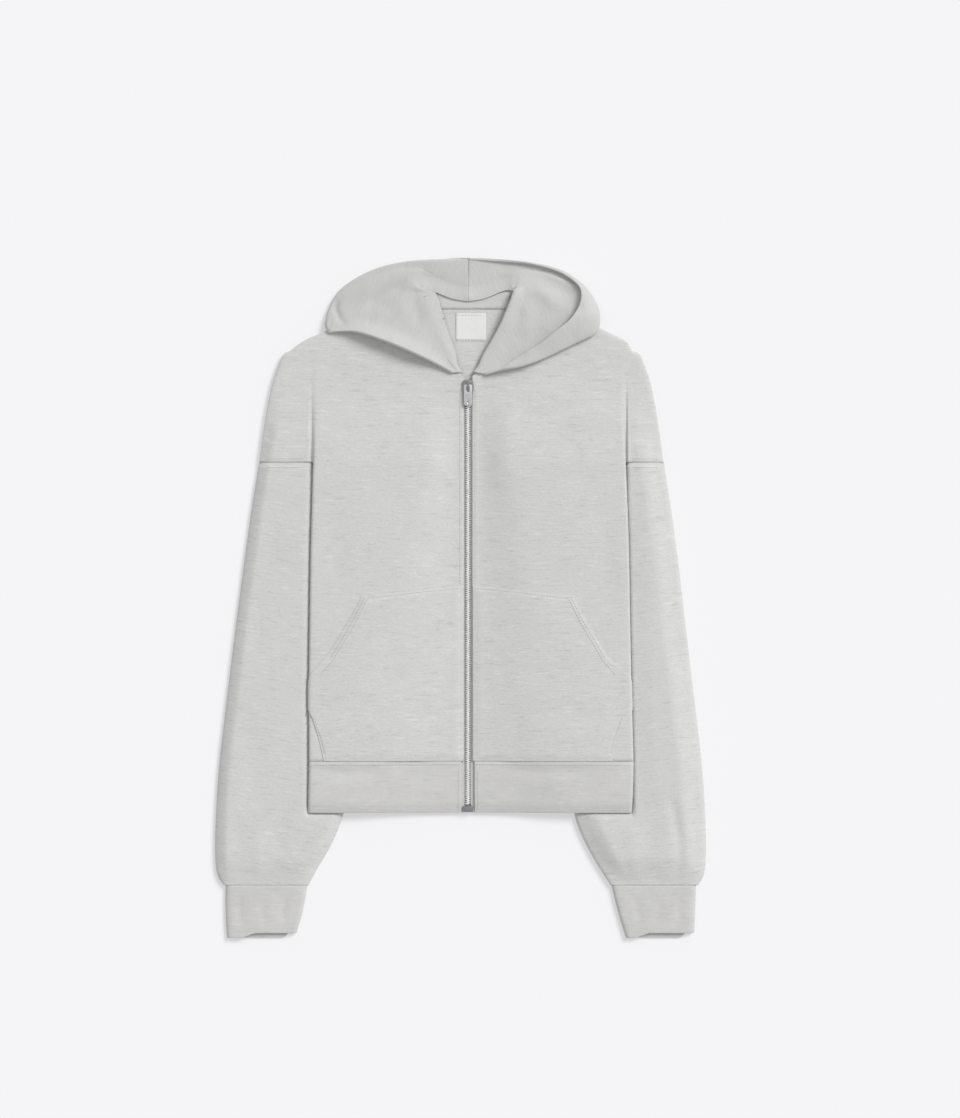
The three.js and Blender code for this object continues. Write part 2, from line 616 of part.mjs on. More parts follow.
function pocket(half) {
  const out = HALF + POCKET_GAP + POCKET / 2;
  const quarter = (SIDE_FOLD * Math.PI) / 2;
  const rolled = 4;
  const spare = 0.2;
  const grid = POCKET_SIDE.map((row, i) => {
    const share = 1 - i / (POCKET_SIDE.length - 1);
    const points = [];
    const innerY = lerp(POCKET_INNER.bottom, POCKET_INNER.top, share);
    const full = foldStart(half, row.y, CLOTH) + quarter - spare;
    const end = lerp(Math.min(row.a, full - quarter + spare), full, row.edge);
    for (let k = 0; k <= POCKET_COLUMNS; k += 1) {
      const s = lerp(POCKET_INNER.a, end - quarter, k / POCKET_COLUMNS);
      const y = lerp(innerY, row.y, clamp01((s - POCKET_INNER.a) / (end - POCKET_INNER.a)));
      points.push(onFront(half, s, y, out));
    }
    for (let k = 1; k <= rolled; k += 1) {
      points.push(onFront(half, end - quarter * (1 - k / rolled), row.y, out));
    }
    return points;
  });
  return wall(place(half, grid), POCKET);
}

// Thin tape behind the front's zip edge, made from the front's own heights
function zipTape(half) {
  const drop = HALF + SEAM + TAPE / 2;
  const heights = [0.6, 59, ...BODY_ROWS.slice(2, -1), ARMHOLE, 435, 468, ZIP_TOP - 1];
  const inner = CHAIN_WIDTH / 2 + SEAM;
  const grid = heights.map((y) => [inner, ZIP_EDGE, ZIP_EDGE + 3, inner + TAPE_WIDTH].map((a) => {
    return [a, y, FRONT_MID - drop + rise(half, Math.max(a, ZIP_EDGE), y) - rise(half, ZIP_EDGE, y)];
  }));
  return wall(place(half, grid), TAPE);
}

// Tape over the back neck seam, and the blank label below it
const NECK_TAPE_BOTTOM = 578.5;
const NECK_TAPE_TO_SEAM = 2;
const LABEL_ROWS = [541.7, 552, 563, 573.2];
const LABEL_COLUMNS = [-13.8, -5, 4, 12, 20.7];
const LABEL = 0.8;
function neckTape() {
  const places = [-48, -37, -25, -12, 0, 12, 25, 37, 48];
  const seam = (a) => {
    const i = BACK_LINES.findIndex((line) => line.topA >= a);
    if (i < 1) return BACK_LINES[0].topY;
    const [from, to] = [BACK_LINES[i - 1], BACK_LINES[i]];
    return lerp(from.topY, to.topY, (a - from.topA) / (to.topA - from.topA));
  };
  const rows = [0, 0.33, 0.67, 1];
  const grid = rows.map((share) => places.map((a) => {
    const y = lerp(NECK_TAPE_BOTTOM, seam(Math.abs(a)) - NECK_TAPE_TO_SEAM, share);
    return [a, y, CLOTH + SEAM + TAPE / 2 + rise(LEFT, Math.abs(a), y)];
  }));
  return wall(grid, TAPE);
}

function neckLabel() {
  const z = CLOTH + SEAM + LABEL / 2;
  return wall(LABEL_ROWS.map((y) => LABEL_COLUMNS.map((x) => [x, y, z])), LABEL);
}

// A flat plate with rounded corners, its lower face at z
function plate(width, length, thickness, corner, y, z, hole) {
  const shape = new THREE.Shape();
  const [w, l, r] = [width / 2, length / 2, corner];
  shape.moveTo(-w + r, -l);
  shape.lineTo(w - r, -l);
  shape.absarc(w - r, -l + r, r, -Math.PI / 2, 0);
  shape.lineTo(w, l - r);
  shape.absarc(w - r, l - r, r, 0, Math.PI / 2);
  shape.lineTo(-w + r, l);
  shape.absarc(-w + r, l - r, r, Math.PI / 2, Math.PI);
  shape.lineTo(-w, -l + r);
  shape.absarc(-w + r, -l + r, r, Math.PI, Math.PI * 1.5);
  (hole ?? []).forEach((path) => shape.holes.push(path));
  const settings = { depth: thickness, bevelEnabled: false, curveSegments: 2 };
  return new THREE.ExtrudeGeometry(shape, settings).translate(0, y, z);
}

function toSolid(geometry) {
  geometry.deleteAttribute('normal');
  geometry.deleteAttribute('uv');
  const merged = BufferGeometryUtils.mergeVertices(geometry, 1e-4);
  return new wasm.Manifold(new wasm.Mesh({
    numProp: 3,
    vertProperties: new Float32Array(merged.attributes.position.array),
    triVerts: new Uint32Array(merged.index.array),
  }));
}

function fromSolid(solid) {
  const mesh = solid.getMesh();
  const geometry = new THREE.BufferGeometry();
  const positions = new THREE.Float32BufferAttribute(Array.from(mesh.vertProperties), 3);
  geometry.setAttribute('position', positions);
  geometry.setIndex(Array.from(mesh.triVerts));
  return geometry;
}

function joined(...geometries) {
  return fromSolid(geometries.map(toSolid).reduce((sum, solid) => sum.add(solid)));
}

// The slider: two plates either side of the chain, the post between them and the bridge on top
const PLATE_TOP = 10.2;
const HINGE_Y = SLIDER_Y + 1;
const HINGE_Z = 11.5;
function slider() {
  const bridge = [
    plate(2, 1.6, 3.4, 0.3, HINGE_Y - 3.6, PLATE_TOP - 0.4),
    plate(2, 1.6, 3.4, 0.3, HINGE_Y + 4, PLATE_TOP - 0.4),
    plate(2, 9.2, 1.2, 0.3, HINGE_Y + 0.2, 13),
  ];
  return joined(
    plate(13, 15, 1.6, 4, SLIDER_Y, PLATE_TOP - 1.6),
    plate(11, 13, 1.4, 3.5, SLIDER_Y, 2.7),
    plate(3, 5, 6, 1, SLIDER_Y + 3.2, 3.5),
    ...bridge,
  );
}

// The pull tab hangs on the bridge by its cross bar and lies towards the hem
function pull() {
  const length = 24;
  const centre = HINGE_Y + 1 - length / 2;
  const slot = new THREE.Path();
  const [w, top, bottom] = [1.6, length / 2 - 2, length / 2 - 8.5];
  slot.moveTo(-w, bottom);
  slot.lineTo(-w, top);
  slot.lineTo(w, top);
  slot.lineTo(w, bottom);
  slot.lineTo(-w, bottom);
  const eye = new THREE.Path();
  eye.absarc(0, -length / 2 + 4, 1.4, 0, Math.PI * 2, true);
  const geometry = plate(9.5, length, 1.4, 2, centre, HINGE_Z - 0.7, [slot, eye]);
  return fromSolid(toSolid(geometry));
}

const zipChain = () => fromSolid(toSolid(
  plate(CHAIN_WIDTH, CHAIN_TOP - CHAIN_BOTTOM, 2.8, 0.6, (CHAIN_TOP + CHAIN_BOTTOM) / 2, 4.9),
));
const zipBox = () => joined(plate(12, 6.8, 2.6, 1.2, 4.1, 6), plate(6, 6.8, 1.6, 0.5, 4.1, 4.8));

const group = new THREE.Group();
function addPiece(name, geometry, material) {
  const mesh = new THREE.Mesh(geometry, material);
  mesh.name = name;
  group.add(mesh);
}

addPiece('back_panel', backPanel(), GREY);
for (const [side, half, table] of [['left', LEFT, HOOD_LEFT], ['right', RIGHT, HOOD_RIGHT]]) {
  addPiece(`front_${side}`, frontPanel(half), GREY);
  addPiece(`sleeve_${side}`, sleeve(half), GREY);
  addPiece(`cuff_${side}`, cuff(half), BAND_GREY);
  addPiece(`hood_${side}`, hood(half, table), GREY);
  addPiece(`pocket_${side}`, pocket(half), GREY);
  addPiece(`zip_tape_${side}`, zipTape(half), TAPE_GREY);
}
addPiece('hem_band', hemBand(), BAND_GREY);
addPiece('neck_tape', neckTape(), TAPE_GREY);
addPiece('neck_label', neckLabel(), LABEL_WHITE);
addPiece('zip_chain', zipChain(), SILVER);
addPiece('zip_box', zipBox(), SILVER);
addPiece('zip_slider', slider(), SILVER);
addPiece('zip_pull', pull(), SILVER);

// The origin goes to the middle of the garment's footprint, on the surface it lies on
const middle = new THREE.Box3().setFromObject(group).getCenter(new THREE.Vector3());
group.children.forEach((mesh) => mesh.geometry.translate(-middle.x, -middle.y, 0));

export default group;
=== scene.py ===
"""The looks of a light grey zip-up hoodie, laid flat on its back.

Everything is in metres in the CAD's frame: X across the garment, Y from hem to hood, Z up.
Places on the garment are given in millimetres from the zip's centre line and the hem's lower edge.
"""
import math

import bmesh
import bpy
import numpy as np
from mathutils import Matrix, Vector
from mathutils.bvhtree import BVHTree


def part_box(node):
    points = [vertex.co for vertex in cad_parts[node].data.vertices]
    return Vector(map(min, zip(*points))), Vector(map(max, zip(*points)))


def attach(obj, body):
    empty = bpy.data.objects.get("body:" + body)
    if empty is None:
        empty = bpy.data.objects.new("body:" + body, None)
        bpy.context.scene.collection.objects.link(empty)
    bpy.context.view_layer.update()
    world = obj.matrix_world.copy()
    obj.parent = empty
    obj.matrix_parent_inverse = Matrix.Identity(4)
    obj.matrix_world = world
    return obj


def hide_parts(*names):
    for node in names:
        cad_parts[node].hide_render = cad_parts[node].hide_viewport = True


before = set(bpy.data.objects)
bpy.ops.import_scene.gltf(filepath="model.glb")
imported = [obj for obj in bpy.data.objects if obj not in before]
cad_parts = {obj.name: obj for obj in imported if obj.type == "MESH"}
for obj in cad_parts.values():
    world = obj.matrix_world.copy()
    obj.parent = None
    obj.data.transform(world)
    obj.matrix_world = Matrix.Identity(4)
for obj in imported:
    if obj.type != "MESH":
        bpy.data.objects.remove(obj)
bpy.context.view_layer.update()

MM = 0.001
SIDES = {"left": -1, "right": 1}
ZIP_X = sum(corner.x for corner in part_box("zip_chain")) / 2
HEM_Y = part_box("hem_band")[0].y
ARMHOLE = 401
HEM_SEAM = 58.7
CHEST_TOP = 505

# How the photograph frames the garment: the width it takes in and its middle, in metres
VIEW_WIDTH = 1.104
VIEW_CENTRE = (0.0223, 0.0447)
CAMERA_HEIGHT = 3.6
SENSOR = 36
CLIP_NEAR = 0.05
CLIP_FAR = 60

# The studio: an even room and one broad lamp from the upper right
ROOM_COLOUR = (0.99, 0.985, 1.0, 1)
ROOM_STRENGTH = 0.55
LAMP_COLOUR = (1.0, 0.995, 0.985)
LAMP_STRENGTH = 1.95
LAMP_SPREAD = math.radians(24)
LAMP_FROM = (1.4, 1.2, 1.7)

scene = bpy.context.scene


def ease(share):
    """A smooth step from 0 to 1, for numbers and arrays."""
    s = np.clip(share, 0, 1)
    return s * s * (3 - 2 * s)


def to_frame(x, y):
    """Garment millimetres to frame metres."""
    return ZIP_X + x * MM, HEM_Y + y * MM


# Camera and light


def add_camera():
    """Looks straight down on the garment."""
    data = bpy.data.cameras.new("camera")
    camera = bpy.data.objects.new("camera", data)
    scene.collection.objects.link(camera)
    camera.location = (VIEW_CENTRE[0], VIEW_CENTRE[1], CAMERA_HEIGHT)
    data.sensor_fit = "HORIZONTAL"
    data.sensor_width = SENSOR
    data.lens = SENSOR * CAMERA_HEIGHT / VIEW_WIDTH
    data.clip_start = CLIP_NEAR
    data.clip_end = CLIP_FAR
    scene.camera = camera


def add_lights():
    """The room's even light and the lamp."""
    world = bpy.data.worlds.new("studio")
    world.use_nodes = True
    background = world.node_tree.nodes["Background"]
    background.inputs["Color"].default_value = ROOM_COLOUR
    background.inputs["Strength"].default_value = ROOM_STRENGTH
    scene.world = world
    lamp = bpy.data.lights.new("key", "SUN")
    lamp.energy = LAMP_STRENGTH
    lamp.angle = LAMP_SPREAD
    lamp.color = LAMP_COLOUR
    key = bpy.data.objects.new("key", lamp)
    key.location = LAMP_FROM
    key.rotation_euler = key.location.to_track_quat("Z", "Y").to_euler()
    scene.collection.objects.link(key)
    scene.view_settings.view_transform = "Standard"


# Materials


class Nodes:
    """A short way to write a material's node tree."""

    def __init__(self, name):
        self.material = bpy.data.materials.new(name)
        self.material.use_nodes = True
        self.tree = self.material.node_tree
        self.shader = self.tree.nodes["Principled BSDF"]

    def add(self, kind, links=(), **values):
        """A node with its properties set and its sockets linked or set."""
        node = self.tree.nodes.new(kind)
        for key, value in values.items():
            setattr(node, key, value)
        for socket, source in dict(links).items():
            if isinstance(source, bpy.types.NodeSocket):
                self.tree.links.new(source, node.inputs[socket])
            else:
                node.inputs[socket].default_value = source
        return node

    def set(self, **values):
        """Constants on the shader's own sockets."""
        for socket, value in values.items():
            self.shader.inputs[socket.replace("_", " ")].default_value = value

    def link(self, source, socket):
        """Feeds one socket of the shader."""
        self.tree.links.new(source, self.shader.inputs[socket])

    def noise(self, coordinates, stretch, detail=2.0, roughness=0.5, turn=0.0):
        """Noise of cells 1 / stretch metres in size, and turned about Z."""
        mapping = self.add(
            "ShaderNodeMapping",
            {"Vector": coordinates, "Rotation": (0, 0, turn), "Scale": stretch},
            vector_type="TEXTURE" if turn else "POINT",
        )
        if turn:
            mapping.inputs["Scale"].default_value = tuple(1 / s for s in stretch)
        return self.add(
            "ShaderNodeTexNoise",
            {
                "Vector": mapping.outputs[0],
                "Scale": 1.0,
                "Detail": detail,
                "Roughness": roughness,
            },
        ).outputs["Fac"]

    def ramp(self, source, stops):
        """Greys at the given places along a value from 0 to 1."""
        node = self.add("ShaderNodeValToRGB", {"Fac": source})
        elements = node.color_ramp.elements
        for _ in range(len(stops) - 2):
            elements.new(0.5)
        for element, (place, value) in zip(elements, stops):
            element.position = place
            element.color = (value, value, value, 1)
        return node.outputs["Color"]

    def multiply(self, a, b):
        """The product of two colours."""
        node = self.add("ShaderNodeMix", data_type="RGBA", blend_type="MULTIPLY")
        node.inputs["Factor"].default_value = 1
        colours = [s for s in node.inputs if s.type == "RGBA"]
        for socket, source in zip(colours, (a, b)):
            if isinstance(source, bpy.types.NodeSocket):
                self.tree.links.new(source, socket)
            else:
                socket.default_value = source
        return [s for s in node.outputs if s.type == "RGBA"][0]

    def bump(self, layers):
        """Stacks bumps, each (height, distance in metres)."""
        normal = None
        for height, distance in layers:
            links = {"Height": height, "Distance": distance, "Strength": 1.0}
            if normal:
                links["Normal"] = normal
            normal = self.add("ShaderNodeBump", links).outputs["Normal"]
        self.link(normal, "Normal")


def heather(name, colour, turn=0.0, depth=1.0):
    """Light marled fleece: sparse slubs along the knit's courses, over soft cloudy blotches."""
    m = Nodes(name)
    here = m.add("ShaderNodeTexCoord").outputs["Object"]
    slubs = m.noise(here, (62, 390, 62), detail=2.0, roughness=0.55, turn=turn)
    fine = m.noise(here, (300, 1100, 300), detail=1.0, turn=turn)
    clouds = m.noise(here, (26, 60, 26), detail=3.0, turn=turn)
    dark, light = 1 - 0.12 * depth, 1 + 0.1 * depth
    streak = m.ramp(slubs, [(0.27, dark), (0.42, 1.0), (0.58, 1.0), (0.73, light)])
    grain = m.ramp(fine, [(0.3, 1 - 0.05 * depth), (0.7, 1 + 0.04 * depth)])
    cloud = m.ramp(clouds, [(0.3, 0.98), (0.7, 1.015)])
    tone = m.multiply(m.multiply(streak, grain), cloud)
    m.link(m.multiply(tone, (*colour, 1)), "Base Color")
    m.set(Roughness=0.95, Specular_IOR_Level=0.15, Sheen_Weight=0.12, Sheen_Roughness=0.6)
    m.bump([(fine, 0.00022), (slubs, 0.00025)])
    return m.material


def knit_band(name, colour):
    """The bands' denser knit: fine wales across which the same heather shows."""
    m = Nodes(name)
    here = m.add("ShaderNodeTexCoord").outputs["Object"]
    slubs = m.noise(here, (75, 420, 75), detail=2.0, roughness=0.55)
    wales = m.noise(here, (650, 120, 650), detail=1.0)
    clouds = m.noise(here, (26, 40, 26), detail=2.0)
    streak = m.ramp(slubs, [(0.27, 0.9), (0.42, 1.0), (0.58, 1.0), (0.73, 1.08)])
    rib = m.ramp(wales, [(0.3, 0.985), (0.7, 1.01)])
    cloud = m.ramp(clouds, [(0.3, 0.97), (0.7, 1.02)])
    tone = m.multiply(m.multiply(streak, rib), cloud)
    m.link(m.multiply(tone, (*colour, 1)), "Base Color")
    m.set(Roughness=0.95, Specular_IOR_Level=0.15, Sheen_Weight=0.1, Sheen_Roughness=0.6)
    m.bump([(wales, 0.00012), (slubs, 0.0002)])
    return m.material


def woven(name, colour, threads, roughness, relief):
    """Plain woven tape or satin: threads per metre across X and Y."""
    m = Nodes(name)
    here = m.add("ShaderNodeTexCoord").outputs["Object"]
    across = m.add(
        "ShaderNodeTexWave",
        {"Vector": here, "Scale": threads[0], "Distortion": 0.6, "Detail": 1.0},
        bands_direction="X",
    ).outputs["Fac"]
    along = m.add(
        "ShaderNodeTexWave",
        {"Vector": here, "Scale": threads[1], "Distortion": 0.6, "Detail": 1.0},
        bands_direction="Y",
    ).outputs["Fac"]
    blotch = m.noise(here, (160, 160, 160), detail=2.0)
    ridge = m.ramp(along, [(0, 0.96), (1, 1.02)])
    tone = m.multiply(ridge, m.ramp(blotch, [(0.3, 0.97), (0.7, 1.01)]))
    m.link(m.multiply(tone, (*colour, 1)), "Base Color")
    m.set(Roughness=roughness, Specular_IOR_Level=0.3)
    m.bump([(across, relief), (along, relief)])
    return m.material


def zip_metal(name, colour, smooth=0.24, rough=0.42):
    """Nickel plate, lightly brushed and rubbed."""
    m = Nodes(name)
    here = m.add("ShaderNodeTexCoord").outputs["Object"]
    brushed = m.noise(here, (900, 5200, 2400), detail=2.0)
    rubbed = m.noise(here, (300, 300, 300), detail=3.0)
    m.link(m.multiply(m.ramp(rubbed, [(0.3, 0.86), (0.7, 1.04)]), (*colour, 1)), "Base Color")
    m.link(m.ramp(brushed, [(0.3, smooth), (0.7, rough)]), "Roughness")
    m.set(Metallic=1.0)
    m.bump([(brushed, 0.00002)])
    return m.material


PAPER = (0.585, 0.58, 0.59, 1)
PAPER_GLOW = (1.0, 0.99, 1.0, 1)
PAPER_GLOW_STRENGTH = 0.355


def floor_material():
    """Pale studio paper that glows a little, so that the garment's shadows stay faint on it."""
    m = Nodes("studio_paper")
    here = m.add("ShaderNodeTexCoord").outputs["Object"]
    tone = m.ramp(m.noise(here, (3, 3, 3), detail=3.0), [(0.2, 0.995), (0.8, 1.0)])
    grain = m.noise(here, (900, 900, 900), detail=1.0)
    m.link(m.multiply(tone, PAPER), "Base Color")
    m.set(Roughness=1.0, Specular_IOR_Level=0.0)
    m.set(Emission_Color=PAPER_GLOW, Emission_Strength=PAPER_GLOW_STRENGTH)
    m.bump([(grain, 0.00003)])
    return m.material


FLEECE = (0.648, 0.65, 0.64)
BAND_GREY = (0.615, 0.614, 0.6)


# Shapes


def mesh_object(name, vertices, faces, material, body="garment", smooth=True):
    """A piece made of points and faces."""
    data = bpy.data.meshes.new(name)
    data.from_pydata([tuple(v) for v in vertices], [], [tuple(f) for f in faces])
    return finish_piece(name, data, material, body, smooth)


def finish_piece(name, data, material, body, smooth=True):
    """Puts a mesh in the scene with its material and on its body."""
    data.materials.clear()
    data.materials.append(material)
    data.polygons.foreach_set("use_smooth", [smooth] * len(data.polygons))
    data.update()
    piece = bpy.data.objects.new(name, data)
    scene.collection.objects.link(piece)
    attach(piece, body)
    return piece


MERGE_WITHIN = 2e-5


def clean_copy(node, face_angle, shape_angle, topology):
    """The CAD solid as a bmesh, its triangles paired back into quads."""
    bm = bmesh.new()
    bm.from_mesh(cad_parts[node].data)
    bmesh.ops.remove_doubles(bm, verts=bm.verts, dist=MERGE_WITHIN)
    bmesh.ops.join_triangles(
        bm,
        faces=bm.faces,
        angle_face_threshold=math.radians(face_angle),
        angle_shape_threshold=math.radians(shape_angle),
        topology_influence=topology,
    )
    bmesh.ops.recalc_face_normals(bm, faces=bm.faces)
    return bm


def evaluated(name, bm, add_modifiers):
    """Runs modifiers on a bmesh and returns the resulting mesh."""
    rough = bpy.data.meshes.new(name)
    bm.to_mesh(rough)
    bm.free()
    holder = bpy.data.objects.new(name, rough)
    scene.collection.objects.link(holder)
    add_modifiers(holder)
    graph = bpy.context.evaluated_depsgraph_get()
    result = bpy.data.meshes.new_from_object(holder.evaluated_get(graph))
    bpy.data.objects.remove(holder)
    bpy.data.meshes.remove(rough)
    return result


# Edges sharper than the first angle are creased, and shading breaks at the second
SHARP = math.radians(50)
SHARP_NORMAL = math.radians(62)
RIM_CREASE = 0.55
CUFF_SEAM = -83.15
# How near a seam a rim counts as sewn, at the hood's centre and elsewhere
SEWN_AT_CENTRE = 1
SEWN_WITHIN = 1.2


def on_seam(node, point):
    """True where a piece's rim is sewn to the next piece, in frame metres."""
    x = abs(point.x - ZIP_X) / MM
    y = (point.y - HEM_Y) / MM
    if node.startswith("hood"):
        return x < SEWN_AT_CENTRE
    return min(abs(y - seam) for seam in (ARMHOLE, HEM_SEAM, CUFF_SEAM)) < SEWN_WITHIN


def soft_mesh(node, levels):
    """A fine mesh on the form of a cloth solid, with soft rims and sharp seams."""
    bm = clean_copy(node, face_angle=60, shape_angle=120, topology=1.0)
    crease = bm.edges.layers.float.get("crease_edge") or bm.edges.layers.float.new("crease_edge")
    for edge in bm.edges:
        if len(edge.link_faces) == 2 and edge.calc_face_angle() > SHARP:
            middle = (edge.verts[0].co + edge.verts[1].co) / 2
            edge[crease] = 1.0 if on_seam(node, middle) else RIM_CREASE

    def subdivide(holder):
        modifier = holder.modifiers.new("fine", "SUBSURF")
        modifier.levels = levels
        modifier.render_levels = levels

    mesh = evaluated(node, bm, subdivide)
    mesh.set_sharp_from_angle(angle=SHARP_NORMAL)
    return mesh


def points_of(mesh):
    """A mesh's points as an array of rows."""
    co = np.empty(len(mesh.vertices) * 3)
    mesh.vertices.foreach_get("co", co)
    return co.reshape(-1, 3)


def move_points(mesh, co):
    """Puts a mesh's points at new places."""
    mesh.vertices.foreach_set("co", co.ravel())
    mesh.update()


# Folds placed along listed lines


def along_line(x, y, line, width, fade=0.35):
    """How close each point is to a line of the garment, 1 on it and 0 far off, fading at its ends."""
    best = np.zeros_like(x)
    lengths = [math.dist(a, b) for a, b in zip(line, line[1:])]
    total = sum(lengths)
    gone = 0.0
    for (x0, y0), (x1, y1), length in zip(line, line[1:], lengths):
        share = ((x - x0) * (x1 - x0) + (y - y0) * (y1 - y0)) / length**2
        s = np.clip(share, 0, 1)
        gap = np.hypot(x - x0 - s * (x1 - x0), y - y0 - s * (y1 - y0))
        travelled = (gone + s * length) / total
        ends = ease(np.minimum(travelled, 1 - travelled) / fade)
        best = np.maximum(best, np.exp(-((gap / width) ** 2)) * ends)
        gone += length
    return best


# Each fold: its line in garment millimetres, its half width and its height, below zero a trough
FOLDS = {
    "front_left": [
        ([(-40, 470), (-95, 430), (-150, 405)], 22, -0.9),
        ([(-60, 505), (-110, 470), (-165, 440)], 18, 0.7),
        ([(-30, 380), (-55, 300), (-60, 262)], 20, -0.7),
        ([(-105, 400), (-120, 330), (-128, 270)], 24, 0.7),
        ([(-160, 360), (-150, 300), (-156, 240)], 14, -0.7),
    ],
    "front_right": [
        ([(35, 470), (90, 440), (150, 412)], 20, -0.8),
        ([(60, 500), (115, 475), (170, 452)], 16, 0.7),
        ([(40, 390), (62, 320), (58, 262)], 22, -0.8),
        ([(110, 410), (118, 340), (130, 265)], 22, 0.7),
        ([(165, 350), (158, 290), (166, 215)], 14, -0.9),
    ],
    "pocket_left": [
        ([(-60, 240), (-84, 190), (-92, 130)], 20, -0.8),
        ([(-110, 225), (-128, 170), (-132, 110)], 16, 0.7),
        ([(-40, 110), (-90, 92), (-140, 100)], 16, 0.8),
    ],
    "pocket_right": [
        ([(60, 245), (80, 190), (76, 120)], 20, -0.8),
        ([(112, 225), (130, 165), (138, 105)], 16, 0.7),
        ([(40, 104), (95, 90), (150, 104)], 16, 0.8),
    ],
    "hem_band": [
        ([(-186, 50), (-140, 45), (-90, 50)], 7, -2.3),
        ([(-120, 22), (-80, 14), (-30, 20)], 9, -0.5),
        ([(18, 51), (90, 47), (162, 52)], 6, -1.8),
        ([(60, 20), (110, 13), (160, 22)], 9, -0.5),
    ],
    "sleeve_left": [
        ([(-216, 380), (-224, 320), (-218, 250)], 13, -0.7),
        ([(-246, 300), (-240, 240), (-250, 170)], 13, -0.8),
        ([(-262, 130), (-244, 60), (-250, -10)], 15, -0.9),
        ([(-205, 20), (-220, -20), (-216, -56)], 12, -1.0),
        ([(-270, 10), (-262, -30), (-262, -66)], 10, -0.9),
        ([(-246, -20), (-240, -50), (-240, -84)], 8, 0.7),
    ],
    "sleeve_right": [
        ([(206, 380), (214, 320), (208, 260)], 13, -0.6),
        ([(238, 290), (228, 230), (238, 160)], 13, -0.8),
        ([(231, 30), (243.8, -40), (240, -84)], 7, -2.2),
        ([(206, 50), (212, 0), (204, -56)], 13, -1.1),
        ([(258, 40), (262, -20), (256, -66)], 11, -0.8),
        ([(186, -40), (192, -62), (194, -84)], 8, 0.7),
    ],
    "hood_left": [
        ([(-62, 611), (-92, 595), (-122, 573)], 8, -3.4),
        ([(-50, 627), (-90, 614), (-138, 586)], 9, 1.5),
        ([(-150, 594), (-152, 578), (-147, 566), (-136, 556)], 3.5, -2.2),
        ([(-160, 556), (-120, 551), (-85, 537), (-50, 520), (-20, 502)], 10, 6.4),
        ([(-50, 607), (-47, 588), (-44, 566)], 7, 0.6),
        ([(-62, 596), (-60, 576), (-54, 552)], 6, -1.2),
        ([(-96, 582), (-104, 566), (-98, 552)], 9, 0.9),
    ],
    "hood_right": [
        ([(50, 622), (84, 614), (112, 596), (124, 572)], 10, -3.0),
        ([(74, 606), (92, 592), (100, 572)], 8, 1.5),
        ([(62, 594), (70, 568), (60, 540)], 8, 1.6),
        ([(90, 560), (80, 544), (70, 526)], 8, -0.9),
        ([(10, 500), (58, 510), (96, 524)], 8, 2.2),
        ([(96, 626), (128, 606), (138, 574), (116, 546)], 9, 3.2),
    ],
    "cuff_left": [
        ([(-262, -90), (-262, -112), (-260, -134)], 5, -0.8),
        ([(-232, -92), (-236, -112), (-232, -138)], 6, -0.7),
        ([(-208, -92), (-212, -112), (-214, -132)], 5, -0.8),
    ],
    "cuff_right": [
        ([(190, -92), (196, -114), (198, -134)], 5, -0.8),
        ([(218, -92), (220, -112), (216, -138)], 6, -0.7),
        ([(244, -92), (242, -112), (244, -134)], 5, -0.8),
    ],
    "back_panel": [
        ([(-20, 560), (0, 520), (6, 470)], 14, 0.6),
    ],
}

# How far the uncovered cloth of each sleeve stands up, the share of it reached right beside the
# body, and over what distance from the body's edge and from its own edge it gets there: at the left
# it rises close beside the body, at the right it slopes down to it and starts under its rim, where
# tuck is how far
PUFF = {
    "left": dict(height=5.2, beside=0.1, tuck=0, from_body=4.5, from_edge=15),
    "right": dict(height=8.2, beside=0.75, tuck=1.3, from_body=28, from_edge=30),
}
# Over what distance the share beside the body comes in
PUFF_START = 2.5
# Over what distance below the armhole the front takes up its sleeve's fullness
YOKE_RUN = 8
# The body's edge is read from the front's rows that are at least this far below the armhole
BODY_BELOW = 2
# The fullness is gone this far past the cuff's seam, and is whole again this far up from there
WRIST_PAST = 4
WRIST_RUN = 40

# Points of a solid that are farther apart than this from hem to hood are in different rows
ROW_GAP = {"sleeve": 2.0, "front": 0.3}


def edge_rows(node, sign):
    """The height of each row of a solid and its outer and inner reach, in garment millimetres."""
    co = points_of(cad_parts[node].data)
    y = (co[:, 1] - HEM_Y) / MM
    order = np.argsort(y)
    y = y[order]
    a = sign * (co[order, 0] - ZIP_X) / MM
    starts = np.flatnonzero(np.diff(y, prepend=-np.inf) > ROW_GAP[node.split("_")[0]])
    return y[starts], np.maximum.reduceat(a, starts), np.minimum.reduceat(a, starts)


